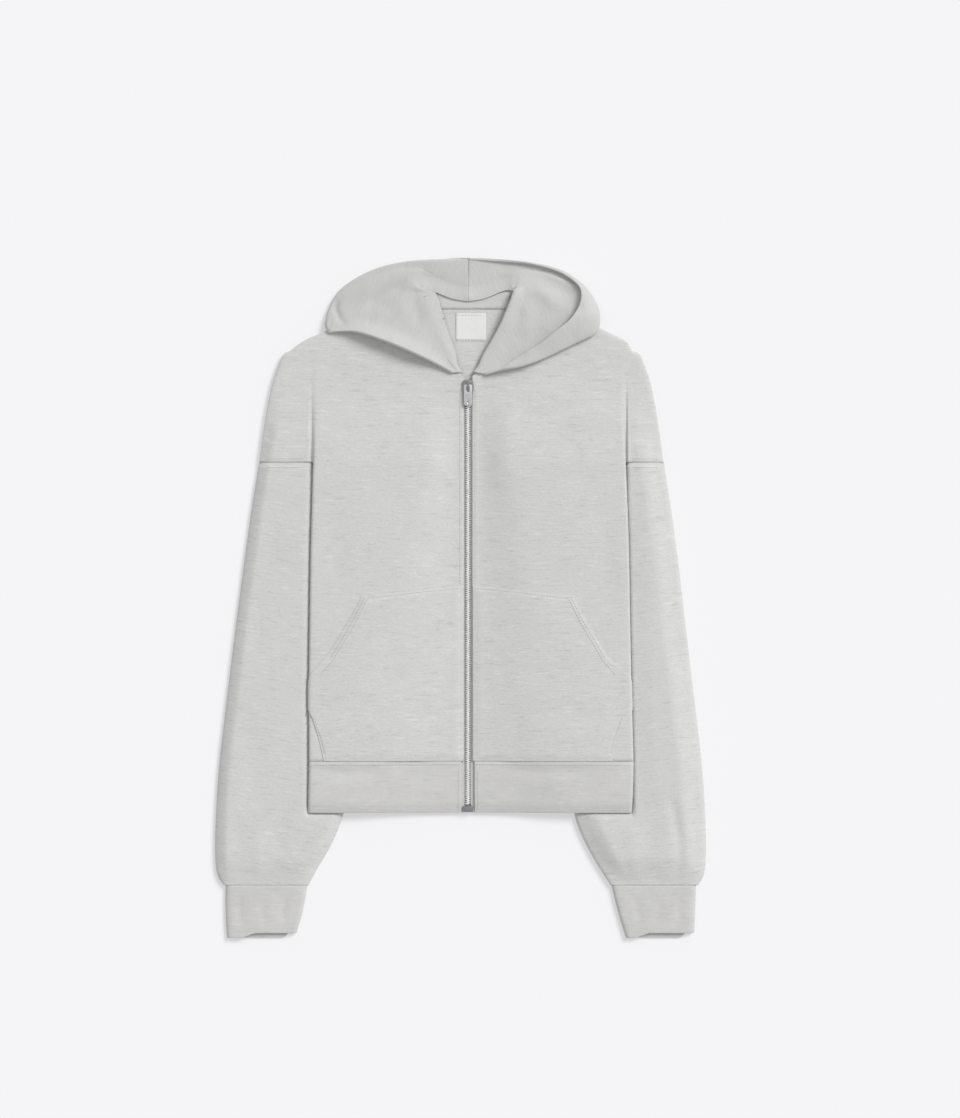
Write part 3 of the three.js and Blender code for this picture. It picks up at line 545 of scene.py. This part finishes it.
def puffed(side, x, y):
    """Height of the sleeve's soft fullness at garment points, one rule for sleeve and shoulder."""
    sign = SIDES[side]
    a = sign * x
    sleeve_y, sleeve_outer, sleeve_inner = edge_rows(f"sleeve_{side}", sign)
    front_y, front_outer, _ = edge_rows(f"front_{side}", sign)
    low = front_y < ARMHOLE - BODY_BELOW
    body = np.interp(y, front_y[low], front_outer[low])
    yoke = front_y > ARMHOLE
    shoulder = np.maximum.accumulate(front_outer[yoke][::-1])[::-1]
    outer_y = np.concatenate([sleeve_y, front_y[yoke]])
    outer = np.interp(y, outer_y, np.concatenate([sleeve_outer, shoulder]))
    inner = np.interp(y, sleeve_y, sleeve_inner)
    puff = PUFF[side]
    from_body = np.hypot(np.maximum(0, a - body + puff["tuck"]), np.maximum(0, -y))
    start = puff["beside"] * ease(from_body / PUFF_START)
    clear = start + (1 - puff["beside"]) * ease(from_body / puff["from_body"])
    clear *= ease((outer - a) / puff["from_edge"])
    inside = np.where(y < 0, ease((a - inner) / puff["from_edge"]), 1)
    fading = 1 - ease((y - ARMHOLE) / (CHEST_TOP - ARMHOLE))
    wrist = ease((y - CUFF_SEAM + WRIST_PAST) / WRIST_RUN)
    return puff["height"] * clear * inside * fading * wrist


# The front stands full of air from the zip out, instead of dipping beside the sleeve under it.
# The RISE values are how the solids ride over the sleeve.
RISE = 8.5
RISE_RUN = 70
RISE_CLEAR = 4
RISE_START = 2
# The front is full from this far off the zip, and each kind of piece takes this share of it
FULL_FROM = 10
FULLNESS = {"front": 1.0, "pocket": 1.0, "hem": 0.6}


def filled(side, x, y):
    """Height that fills the front's dip beside the sleeve, at garment points."""
    sign = SIDES[side]
    a = sign * x
    sleeve_y, _, sleeve_inner = edge_rows(f"sleeve_{side}", sign)
    inner = np.interp(y, sleeve_y, sleeve_inner) - RISE_CLEAR
    dip = ease(1 - (inner - a) / np.minimum(RISE_RUN, inner - RISE_START))
    full = ease((a - FULL_FROM) / (inner - FULL_FROM))
    fading = 1 - ease((y - ARMHOLE) / (CHEST_TOP - ARMHOLE))
    return RISE * (full - dip) * fading


# The hem's lower edge rolls down towards the floor
HEM_ROLL = 2.6
HEM_ROLL_RUN = 11

# The lines on which the rims of sewn pieces meet, and how far off them the solids' rims may lie
ARMHOLE_LINE = 401.3
SEAM_LINES = (ARMHOLE_LINE, 58.85, CUFF_SEAM)
SEAM_REACH = 0.75
# The front is sewn to its sleeve from this far off the zip
YOKE_FROM = 188
# Hood points this close to the middle go onto it
CENTRE_REACH = 0.6


def close_seams(kind, a, y):
    """Where each point goes from hem to hood, so that sewn rims meet without a gap."""
    closed = y.copy()
    for line in SEAM_LINES:
        near = np.abs(y - line) < SEAM_REACH
        if line == ARMHOLE_LINE:
            near &= (kind == "sleeve") | ((kind == "front") & (a > YOKE_FROM))
        closed[near] = line
    return closed


# The neck seam of each hood half, from the zip to the back neck, and what its edge does beside it:
# at the left it runs down into the neck, at the right it stands up over it
NECK_SEAM = [(9, 505), (16, 513), (24, 526), (34, 543), (43, 560), (50, 577), (55, 591), (56, 603)]
# Both come in over the first run, from the seam's lower end, and go out over the last, from NECK_END
NECK_START_RUN = 22
NECK_END = 596
NECK_END_RUN = 9
# Left: how far and how low its rim runs, between which heights, and how the cloth softens above it
NECK_RIM = 5
NECK_RUN_IN = 25
NECK_RUN_SHARE = 0.5
NECK_FLOOR = 3.9
NECK_TOP = 11.4
NECK_DEPTH = 5.7
FACES_DOWN = -0.4
NECK_SOFTEN = 2.2
NECK_SOFTEN_RUN = 26
# Right: how far its rim lifts and reaches out, over what run, and from where it lifts
NECK_LIFT = 4.6
NECK_LIFT_FROM = 520
NECK_LIFT_RUN = 50
NECK_OVERHANG = 3.2
NECK_OVERHANG_RUN = 9
# Points this close to a line move all the way
FULL_WITHIN = 1
# The rim along the back neck comes down over the tape, in the lower layer only
BACK_NECK = [(0, 591.5), (8, 592.4), (16, 593.8), (24, 596.2), (31, 599), (38, 602.3), (50, 603)]
BACK_NECK_RUN = 12
BACK_NECK_DOWN = 4.4
BACK_NECK_UP = 3.4
BACK_NECK_END = 50
BACK_NECK_FADE = 8
BACK_NECK_LAYER = 7
BACK_NECK_LAYER_FADE = 3


def nearest_on(line, x, y):
    """How far points are from a line of the garment, and the direction square to it there."""
    distance = np.full_like(x, np.inf)
    square = np.zeros((len(x), 2))
    for (x0, y0), (x1, y1) in zip(line, line[1:]):
        length = math.dist((x0, y0), (x1, y1))
        share = np.clip(((x - x0) * (x1 - x0) + (y - y0) * (y1 - y0)) / length**2, 0, 1)
        gap = np.hypot(x - x0 - share * (x1 - x0), y - y0 - share * (y1 - y0))
        closer = gap < distance
        distance = np.where(closer, gap, distance)
        square[closer] = (-(y1 - y0) / length, (x1 - x0) / length)
    return distance, square


def hood_moves(side, x, y, z, up):
    """How the hood's cloth moves beside the neck seam, in metres for each point."""
    sign = SIDES[side]
    a = sign * x
    distance, inward = nearest_on(NECK_SEAM, a, y)
    span = ease((y - NECK_SEAM[0][1]) / NECK_START_RUN) * (1 - ease((y - NECK_END) / NECK_END_RUN))
    moves = np.zeros((len(a), 3))
    if side == "left":
        depth = np.clip((NECK_TOP - z) / NECK_DEPTH, 0, 1)
        depth *= (distance < NECK_RIM) * (up > FACES_DOWN)
        run = np.minimum(NECK_RUN_IN, NECK_RUN_SHARE * a) * depth * span
        moves[:, 0] = sign * inward[:, 0] * run
        moves[:, 1] = inward[:, 1] * run
        soft = NECK_SOFTEN * (1 - ease(distance / NECK_SOFTEN_RUN)) * span
        start = NECK_TOP - soft
        target = start + (NECK_FLOOR - start) * ease(depth)
        moves[:, 2] = np.where(depth > 0, (target - z) * span, -soft)
    else:
        near = (1 - ease((distance - FULL_WITHIN) / NECK_OVERHANG_RUN)) * span
        moves[:, 0] = sign * inward[:, 0] * near * NECK_OVERHANG
        moves[:, 1] = inward[:, 1] * near * NECK_OVERHANG
        moves[:, 2] = near * NECK_LIFT * ease((y - NECK_LIFT_FROM) / NECK_LIFT_RUN)
    from_back, _ = nearest_on(BACK_NECK, a, y)
    back = 1 - ease((from_back - FULL_WITHIN) / BACK_NECK_RUN)
    back *= 1 - ease((a - BACK_NECK_END) / BACK_NECK_FADE)
    back *= 1 - ease((z - BACK_NECK_LAYER) / BACK_NECK_LAYER_FADE)
    moves[:, 1] -= BACK_NECK_DOWN * back
    moves[:, 2] += BACK_NECK_UP * back
    return moves * MM


# Each cuff's upper layer ends a little higher than the layer under it, from the first place across
# the cuff on, and both do from the second
CUFF_STEP = 5.5
CUFF_STEPS = {"left": (-262, -212), "right": (190, 244)}
CUFF_STEP_Y = -116
CUFF_STEP_RUN = 27
# The upper layer is what lies above this height, and each step comes in over its own width
CUFF_MIDDLE = 3.6
CUFF_UPPER_RUN = 20
CUFF_BOTH_RUN = 7


def cuff_step(side, x, y, z):
    """How far the cuff's lower end draws up at garment points."""
    upper_from, both_from = CUFF_STEPS[side]
    top = ease(z - CUFF_MIDDLE)
    step = top * ease((x - upper_from) / CUFF_UPPER_RUN)
    step += (1 - top) * ease((x - both_from) / CUFF_BOTH_RUN)
    return CUFF_STEP * step * ease((CUFF_STEP_Y - y) / CUFF_STEP_RUN)


# The heights between which a piece's share in the folds goes from none, at its underside, to all
UPPER = {"sleeve": (2.6, 5.6), "cuff": (3.0, 5.2), "hem": (4.0, 10.0)}


def fold_cloth(node, mesh):
    """Moves the cloth up and down on its listed folds."""
    co = points_of(mesh)
    x = (co[:, 0] - ZIP_X) / MM
    y = (co[:, 1] - HEM_Y) / MM
    z = co[:, 2] / MM
    lift = np.zeros(len(co))
    for line, width, height in FOLDS.get(node, []):
        lift += height * along_line(x, y, line, width)
    kind, _, side = node.partition("_")
    if kind in ("sleeve", "front"):
        reach = ease((y - ARMHOLE + YOKE_RUN) / YOKE_RUN) if kind == "front" else 1
        lift += puffed(side, x, y) * reach
    if kind in ("front", "pocket"):
        lift += FULLNESS[kind] * filled(side, x, y)
    if kind == "hem":
        fill = np.where(x < 0, filled("left", x, y), filled("right", x, y))
        lift += FULLNESS[kind] * fill
        lift -= HEM_ROLL * (1 - ease(y / HEM_ROLL_RUN))
    if kind == "hood":
        up = np.empty(len(co) * 3)
        mesh.vertex_normals.foreach_get("vector", up)
        co += hood_moves(side, x, y, z, up.reshape(-1, 3)[:, 2])
    co[:, 1] += (close_seams(kind, SIDES.get(side, 0) * x, y) - y) * MM
    if kind == "hood":
        co[np.abs(x) < CENTRE_REACH, 0] = ZIP_X
    if kind == "cuff":
        co[:, 1] += cuff_step(side, x, y, z) * MM
    if kind in UPPER:
        low, high = UPPER[kind]
        lift *= ease((z - low) / (high - low))
    co[:, 2] = np.maximum(co[:, 2] + lift * MM, 0)
    move_points(mesh, co)


SLEEVES = ["sleeve_left", "sleeve_right"]

# Cloth pieces: the solid each stands for, its detail, its flat cut in metres and what it lies on.
# The left hood's cut counts the strip that runs down into the neck.
CLOTH = [
    dict(node="back_panel", levels=2, flat=(0.475, 0.545), area=0.2015, on=SLEEVES),
    dict(node="front_left", levels=3, flat=(0.245, 0.545), area=0.0957, on=["back_panel"]),
    dict(node="front_right", levels=3, flat=(0.235, 0.545), area=0.0949, on=["back_panel"]),
    dict(node="sleeve_left", levels=3, flat=(0.38, 0.485), area=0.158, on=["floor"]),
    dict(node="sleeve_right", levels=3, flat=(0.36, 0.485), area=0.152, on=["floor"]),
    dict(node="cuff_left", levels=3, flat=(0.195, 0.062), area=0.0105, on=["floor"]),
    dict(node="cuff_right", levels=3, flat=(0.195, 0.062), area=0.0106, on=["floor"]),
    dict(node="hem_band", levels=3, flat=(0.76, 0.0587), area=0.043, on=SLEEVES),
    dict(node="hood_left", levels=3, flat=(0.145, 0.18), area=0.0163, on=["front_left", "back_panel"]),
    dict(node="hood_right", levels=3, flat=(0.15, 0.18), area=0.0175, on=["front_right", "back_panel"]),
    dict(node="pocket_left", levels=3, flat=(0.18, 0.2), area=0.0298, on=["front_left"]),
    dict(node="pocket_right", levels=3, flat=(0.18, 0.2), area=0.03, on=["front_right"]),
    dict(node="zip_tape_left", levels=2, flat=(0.011, 0.5), area=0.0054, on=["front_left"]),
    dict(node="zip_tape_right", levels=2, flat=(0.011, 0.5), area=0.0054, on=["front_right"]),
    dict(node="neck_tape", levels=2, flat=(0.097, 0.016), area=0.00137, on=["back_panel"]),
    dict(node="neck_label", levels=2, flat=(0.0346, 0.0316), area=0.00109, on=["back_panel"]),
]

# How far the courses of knit turn from straight across, in radians, where a piece lies at an angle
COURSE_TURN = {"sleeve_left": -0.13, "sleeve_right": 0.12, "hood_left": 1.25, "hood_right": -1.2}
# The share of the slubs' contrast that shows
SLUB_DEPTH = {"hood_left": 0.45, "hood_right": 0.45, "neck_tape": 0.5}
# Painted shade: the hood halves and the neck tape are darkened in their colour for the shade they lie
# in, the left half most; the hood shows the fleece's inner face
PAINTED_SHADE = {"hood_left": 0.9, "hood_right": 0.93, "neck_tape": 0.97}


def cloth_finish(node):
    """The material and the record's slot for a cloth node."""
    kind = node.removesuffix("_left").removesuffix("_right")
    if kind in ("cuff", "hem_band"):
        return knit_band(f"{node}_knit", BAND_GREY), "band_knit"
    if kind == "neck_label":
        return woven("label_satin", (0.86, 0.86, 0.84), (2400, 3000), 0.5, 0.00003), "label"
    if kind == "zip_tape":
        return woven(f"{node}_weave", (0.66, 0.66, 0.645), (900, 1100), 0.9, 0.00004), "tape"
    turn = COURSE_TURN.get(node, 0.0)
    # Painted shade: the hood halves and the neck tape take a darker fleece colour for their shade
    colour = tuple(PAINTED_SHADE.get(node, 1.0) * c for c in FLEECE)
    slot = "tape" if kind == "neck_tape" else "fleece"
    return heather(f"{node}_fleece", colour, turn, SLUB_DEPTH.get(node, 1.0)), slot


# A pocket lies this far off its front, in the solids and here
POCKET_GAP = 0.5
POCKET_CLOSE = 0.12
# The share of its thickness that is left at its edges, and at most how much its outer end loses
PRESSED = 0.35
PRESS_RUN = 7
SIDE_PRESS = 0.4
SIDE_PRESS_FROM = 150
SIDE_PRESS_RUN = 26
# Its inner edge is drawn to the zip's edge and its lower one to the hem seam
POCKET_INNER = 9
POCKET_DRAW_IN = 3.2
POCKET_DRAW_IN_RUN = 12
POCKET_FOOT = 60
POCKET_DRAW_DOWN = 1.2
POCKET_DRAW_DOWN_RUN = 10
ON_SURFACE = 1e-3
POCKET_OUTLINE = [
    (9, 60.5), (9, 260.5), (121, 249), (136, 222), (161, 180),
    (190, 155), (190, 116), (171, 88), (165, 60.5),
]


def press_pocket(mesh, sign, under):
    """Lays a pocket close on its front, thin at its edges and drawn out to the seams beside it."""
    co = points_of(mesh)
    a = sign * (co[:, 0] - ZIP_X) / MM
    y = (co[:, 1] - HEM_Y) / MM
    distance, _ = nearest_on([*POCKET_OUTLINE, POCKET_OUTLINE[0]], a, y)
    thick = PRESSED + (1 - PRESSED) * ease(distance / PRESS_RUN)
    thick = np.minimum(thick, 1 - SIDE_PRESS * ease((a - SIDE_PRESS_FROM) / SIDE_PRESS_RUN))
    for i, point in enumerate(co):
        nearest = under.tree.find_nearest(Vector(point))[0]
        out = Vector(point) - nearest
        height = out.length / MM
        if height > ON_SURFACE:
            pressed = POCKET_CLOSE + max(0, height - POCKET_GAP) * thick[i]
            co[i] = nearest + out.normalized() * pressed * MM
    drawn_in = 1 - ease((a - POCKET_INNER) / POCKET_DRAW_IN_RUN)
    drawn_down = 1 - ease((y - POCKET_FOOT) / POCKET_DRAW_DOWN_RUN)
    co[:, 0] -= sign * POCKET_DRAW_IN * drawn_in * MM
    co[:, 1] -= POCKET_DRAW_DOWN * drawn_down * MM
    move_points(mesh, co)


def add_cloth():
    """Every cloth piece, by the name of its solid."""
    made = {}
    for row in CLOTH:
        node = row["node"]
        mesh = soft_mesh(node, row["levels"])
        fold_cloth(node, mesh)
        kind, _, side = node.partition("_")
        if kind == "pocket":
            press_pocket(mesh, SIDES[side], Surface(made[f"front_{side}"]))
        material, slot = cloth_finish(node)
        piece = finish_piece(f"{node}_cloth", mesh, material, "garment")
        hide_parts(node)
        made[node] = piece
    return made


# Sewing


ABOVE_ALL = 0.1


class Surface:
    """The top of a piece, found from above."""

    def __init__(self, piece):
        points = [v.co for v in piece.data.vertices]
        faces = [tuple(p.vertices) for p in piece.data.polygons]
        self.tree = BVHTree.FromPolygons(points, faces)

    def under(self, x, y):
        """The highest point above a garment place, and which way it faces."""
        fx, fy = to_frame(x, y)
        place, normal, _, _ = self.tree.ray_cast(Vector((fx, fy, ABOVE_ALL)), Vector((0, 0, -1)))
        return place, normal


def sampled(line, spacing):
    """Points every spacing millimetres along a line of the garment."""
    steps = []
    carry = 0.0
    for (x0, y0), (x1, y1) in zip(line, line[1:]):
        length = math.dist((x0, y0), (x1, y1))
        while carry < length:
            share = carry / length
            steps.append((x0 + (x1 - x0) * share, y0 + (y1 - y0) * share))
            carry += spacing
        carry -= length
    return steps


def spline(a, b, c, d, s):
    """The value at share s of the way from b to c, on a smooth curve through all four."""
    linear = (c - a) * s
    squared = (2 * a - 5 * b + 4 * c - d) * s**2
    cubed = (3 * b - a - 3 * c + d) * s**3
    return 0.5 * (2 * b + linear + squared + cubed)


def smooth_line(line, per_step=6):
    """A curve through the given points."""
    ends = [line[0], *line, line[-1]]
    curve = []
    for four in zip(ends, ends[1:], ends[2:], ends[3:]):
        for k in range(per_step):
            curve.append(tuple(spline(*values, k / per_step) for values in zip(*four)))
    return [*curve, line[-1]]


STITCH_PITCH = 3.3
STITCH_LENGTH = 2.5
STITCH_RADIUS = 0.32
STITCH_SINK = 0.16
STITCH_SIDES = 6
# Rings of one stitch: place along it, share of its radius, and height off its middle
STITCH_RINGS = [(-0.5, 0.4, -0.28), (-0.3, 1.0, 0.0), (0.3, 1.0, 0.0), (0.5, 0.4, -0.28)]


def stitches(name, surface, lines, material):
    """Rows of single thread stitches lying on a surface along lines of the garment."""
    vertices = []
    faces = []
    for line in lines:
        spots = sampled(line, STITCH_PITCH)
        for here, ahead in zip(spots, spots[1:]):
            place, normal = surface.under(*here)
            further, _ = surface.under(*ahead)
            if place is None or further is None or (further - place).length > 3 * STITCH_PITCH * MM:
                continue
            along = (further - place).normalized()
            side = normal.cross(along).normalized()
            up = along.cross(side)
            first = len(vertices)
            for offset, thickness, dip in STITCH_RINGS:
                height = STITCH_RADIUS - STITCH_SINK + dip
                centre = place + (along * offset * STITCH_LENGTH + up * height) * MM
                for k in range(STITCH_SIDES):
                    angle = 2 * math.pi * k / STITCH_SIDES
                    reach = STITCH_RADIUS * thickness * MM
                    vertices.append(centre + (side * math.cos(angle) + up * math.sin(angle)) * reach)
            for ring in range(len(STITCH_RINGS) - 1):
                for k in range(STITCH_SIDES):
                    a = first + ring * STITCH_SIDES + k
                    b = first + ring * STITCH_SIDES + (k + 1) % STITCH_SIDES
                    faces.append((a, b, b + STITCH_SIDES, a + STITCH_SIDES))
            last = first + (len(STITCH_RINGS) - 1) * STITCH_SIDES
            faces.append(tuple(first + k for k in reversed(range(STITCH_SIDES))))
            faces.append(tuple(last + k for k in range(STITCH_SIDES)))
    return mesh_object(name, vertices, faces, material)


def mirrored(line, sign):
    """A line of one half of the garment, on the half that sign gives."""
    return [(sign * a, y) for a, y in line]


THREAD = (0.55, 0.55, 0.54)
# How far off the middle each side's row beside the zip runs, and from where to where
ZIP_ROW = {"left": 9.2, "right": 8.2}
ZIP_ROW_ENDS = (62, 490)
# The rows beside each armhole: their inner and outer ends, and how far off the seam they run
SHOULDER_IN = 190
SHOULDER_OUT = {"left": 236, "right": 221}
ARMHOLE_ROW = 5
# A pocket's rows: the opening's inner one, the top edge, the outer edge's foot and the opening's own
POCKET_ROWS = [
    [(116, 244), (130, 216), (155, 174), (171, 156)],
    [(12, 257), (60, 252.5), (118, 245.5)],
    [(176, 108), (168, 86), (162.5, 64)],
    [(118.8, 245.6), (132.8, 218.1), (157.8, 176.1)],
]
HEM_ROW = HEM_SEAM - 3.4
HEM_ROWS = [[(10, HEM_ROW), (180, HEM_ROW)], [(11, 4), (11, 52)]]
LABEL_ROWS = [[(-12, 571.4), (19, 571.4)], [(-12, 543.6), (19, 543.6)]]
NECK_TAPE_ROW = [(-44, 581), (-20, 580.4), (0, 580.4), (20, 580.4), (44, 581)]


def add_sewing(cloth):
    """Every row of stitches that shows."""
    thread = heather("thread", THREAD, depth=0.4)
    tops = {node: Surface(piece) for node, piece in cloth.items()}
    for side, sign in SIDES.items():
        shoulder = (SHOULDER_IN, SHOULDER_OUT[side])
        zip_row = [(ZIP_ROW[side], y) for y in ZIP_ROW_ENDS]
        rows = {
            "front": [zip_row, [(a, ARMHOLE + ARMHOLE_ROW) for a in shoulder]],
            "pocket": POCKET_ROWS,
            "sleeve": [[(a, ARMHOLE - ARMHOLE_ROW) for a in shoulder]],
        }
        for kind, lines in rows.items():
            node = f"{kind}_{side}"
            placed = [mirrored(line, sign) for line in lines]
            stitches(f"{node}_stitches", tops[node], placed, thread)
    hem = [mirrored(row, sign) for sign in SIDES.values() for row in HEM_ROWS]
    stitches("hem_stitches", tops["hem_band"], hem, thread)
    stitches("label_stitches", tops["neck_label"], LABEL_ROWS, thread)
    tape = [smooth_line(NECK_TAPE_ROW)]
    stitches("neck_tape_stitches", tops["neck_tape"], tape, thread)


# The zip


# Faces this close to one plane become one, and edges sharper than the second angle are rounded
FLAT_WITHIN = math.radians(2)
ROUND_ABOVE = math.radians(35)
ROUND_SEGMENTS = 3


def hard_copy(node, name, width, material, body="garment"):
    """A metal solid with its edges rounded."""
    bm = clean_copy(node, face_angle=1, shape_angle=60, topology=0.0)
    bmesh.ops.dissolve_limit(bm, angle_limit=FLAT_WITHIN, verts=bm.verts, edges=bm.edges)

    def round_edges(holder):
        modifier = holder.modifiers.new("round", "BEVEL")
        modifier.width = width * MM
        modifier.segments = ROUND_SEGMENTS
        modifier.limit_method = "ANGLE"
        modifier.angle_limit = ROUND_ABOVE

    mesh = evaluated(name, bm, round_edges)
    piece = finish_piece(name, mesh, material, body)
    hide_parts(node)


TOOTH_PITCH = 2.5
TOOTH_BASE = 1.5
TOOTH_NECK = 1.0
TOOTH_HEAD = 1.4
TOOTH_ROUND = 0.35
# Where each side's row starts, in pitches from the chain's end, half a pitch apart
TOOTH_START = {-1: 0.75, 1: 1.25}
LEVEL_WITHIN = 1e-6
TOOTH_OUTLINE = [
    (3.0, -TOOTH_BASE / 2), (3.0, TOOTH_BASE / 2), (1.2, TOOTH_BASE / 2), (0.5, TOOTH_NECK / 2),
    (-0.1, TOOTH_HEAD / 2), (-0.7, TOOTH_HEAD / 2), (-1.0, 0.3), (-1.0, -0.3),
    (-0.7, -TOOTH_HEAD / 2), (-0.1, -TOOTH_HEAD / 2), (0.5, -TOOTH_NECK / 2), (1.2, -TOOTH_BASE / 2),
]


def add_teeth(material):
    """Two rows of interlocked teeth, one tooth of each row between two of the other."""
    low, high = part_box("zip_chain")
    bm = bmesh.new()
    ring = [bm.verts.new((x * MM, y * MM, low.z)) for x, y in TOOTH_OUTLINE]
    base = bm.faces.new(ring)
    made = bmesh.ops.extrude_face_region(bm, geom=[base])
    raised = [v for v in made["geom"] if isinstance(v, bmesh.types.BMVert)]
    bmesh.ops.translate(bm, verts=raised, vec=(0, 0, high.z - low.z))
    bmesh.ops.recalc_face_normals(bm, faces=bm.faces)
    level = [e for e in bm.edges if abs(e.verts[0].co.z - e.verts[1].co.z) < LEVEL_WITHIN]
    bmesh.ops.bevel(bm, geom=level, offset=TOOTH_ROUND * MM, segments=2, profile=0.5, affect="EDGES")
    bm.verts.index_update()
    tooth = np.array([v.co[:] for v in bm.verts])
    shape = [[v.index for v in face.verts] for face in bm.faces]
    bm.free()
    count = int((high.y - low.y) / (TOOTH_PITCH * MM)) - 1
    vertices = []
    faces = []
    for sign in SIDES.values():
        start = low.y + (TOOTH_PITCH * TOOTH_START[sign]) * MM
        turned = tooth * (sign, sign, 1)
        for k in range(count):
            first = len(vertices)
            vertices.extend(turned + (ZIP_X, start + k * TOOTH_PITCH * MM, 0))
            faces.extend([first + i for i in face] for face in shape)
    teeth = mesh_object("zip_teeth", vertices, faces, material, smooth=False)
    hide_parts("zip_chain")


def add_zip():
    """The teeth, the retainer box, the slider and its pull."""
    bright = zip_metal("zip_nickel", (0.86, 0.86, 0.87))
    dark = zip_metal("zip_slider_nickel", (0.4, 0.4, 0.41))
    add_teeth(zip_metal("zip_teeth_nickel", (0.96, 0.96, 0.96), smooth=0.5, rough=0.62))
    hard_copy("zip_box", "zip_box_metal", 0.5, dark)
    hard_copy("zip_slider", "zip_slider_metal", 0.45, dark)
    hard_copy("zip_pull", "zip_pull_metal", 0.4, bright, body="pull_tab")


# Floor

FLOOR_SIZE = 12
FLOOR_STEPS = 8
FLOOR_LEVEL = -0.0002


def add_floor():
    """The paper, a hair under the cloth."""
    bm = bmesh.new()
    bmesh.ops.create_grid(bm, x_segments=FLOOR_STEPS, y_segments=FLOOR_STEPS, size=FLOOR_SIZE)
    data = bpy.data.meshes.new("floor")
    bm.to_mesh(data)
    bm.free()
    data.materials.append(floor_material())
    floor = bpy.data.objects.new("floor", data)
    floor.location.z = FLOOR_LEVEL
    scene.collection.objects.link(floor)


add_camera()
add_lights()
add_floor()
cloth = add_cloth()
add_sewing(cloth)
add_zip()
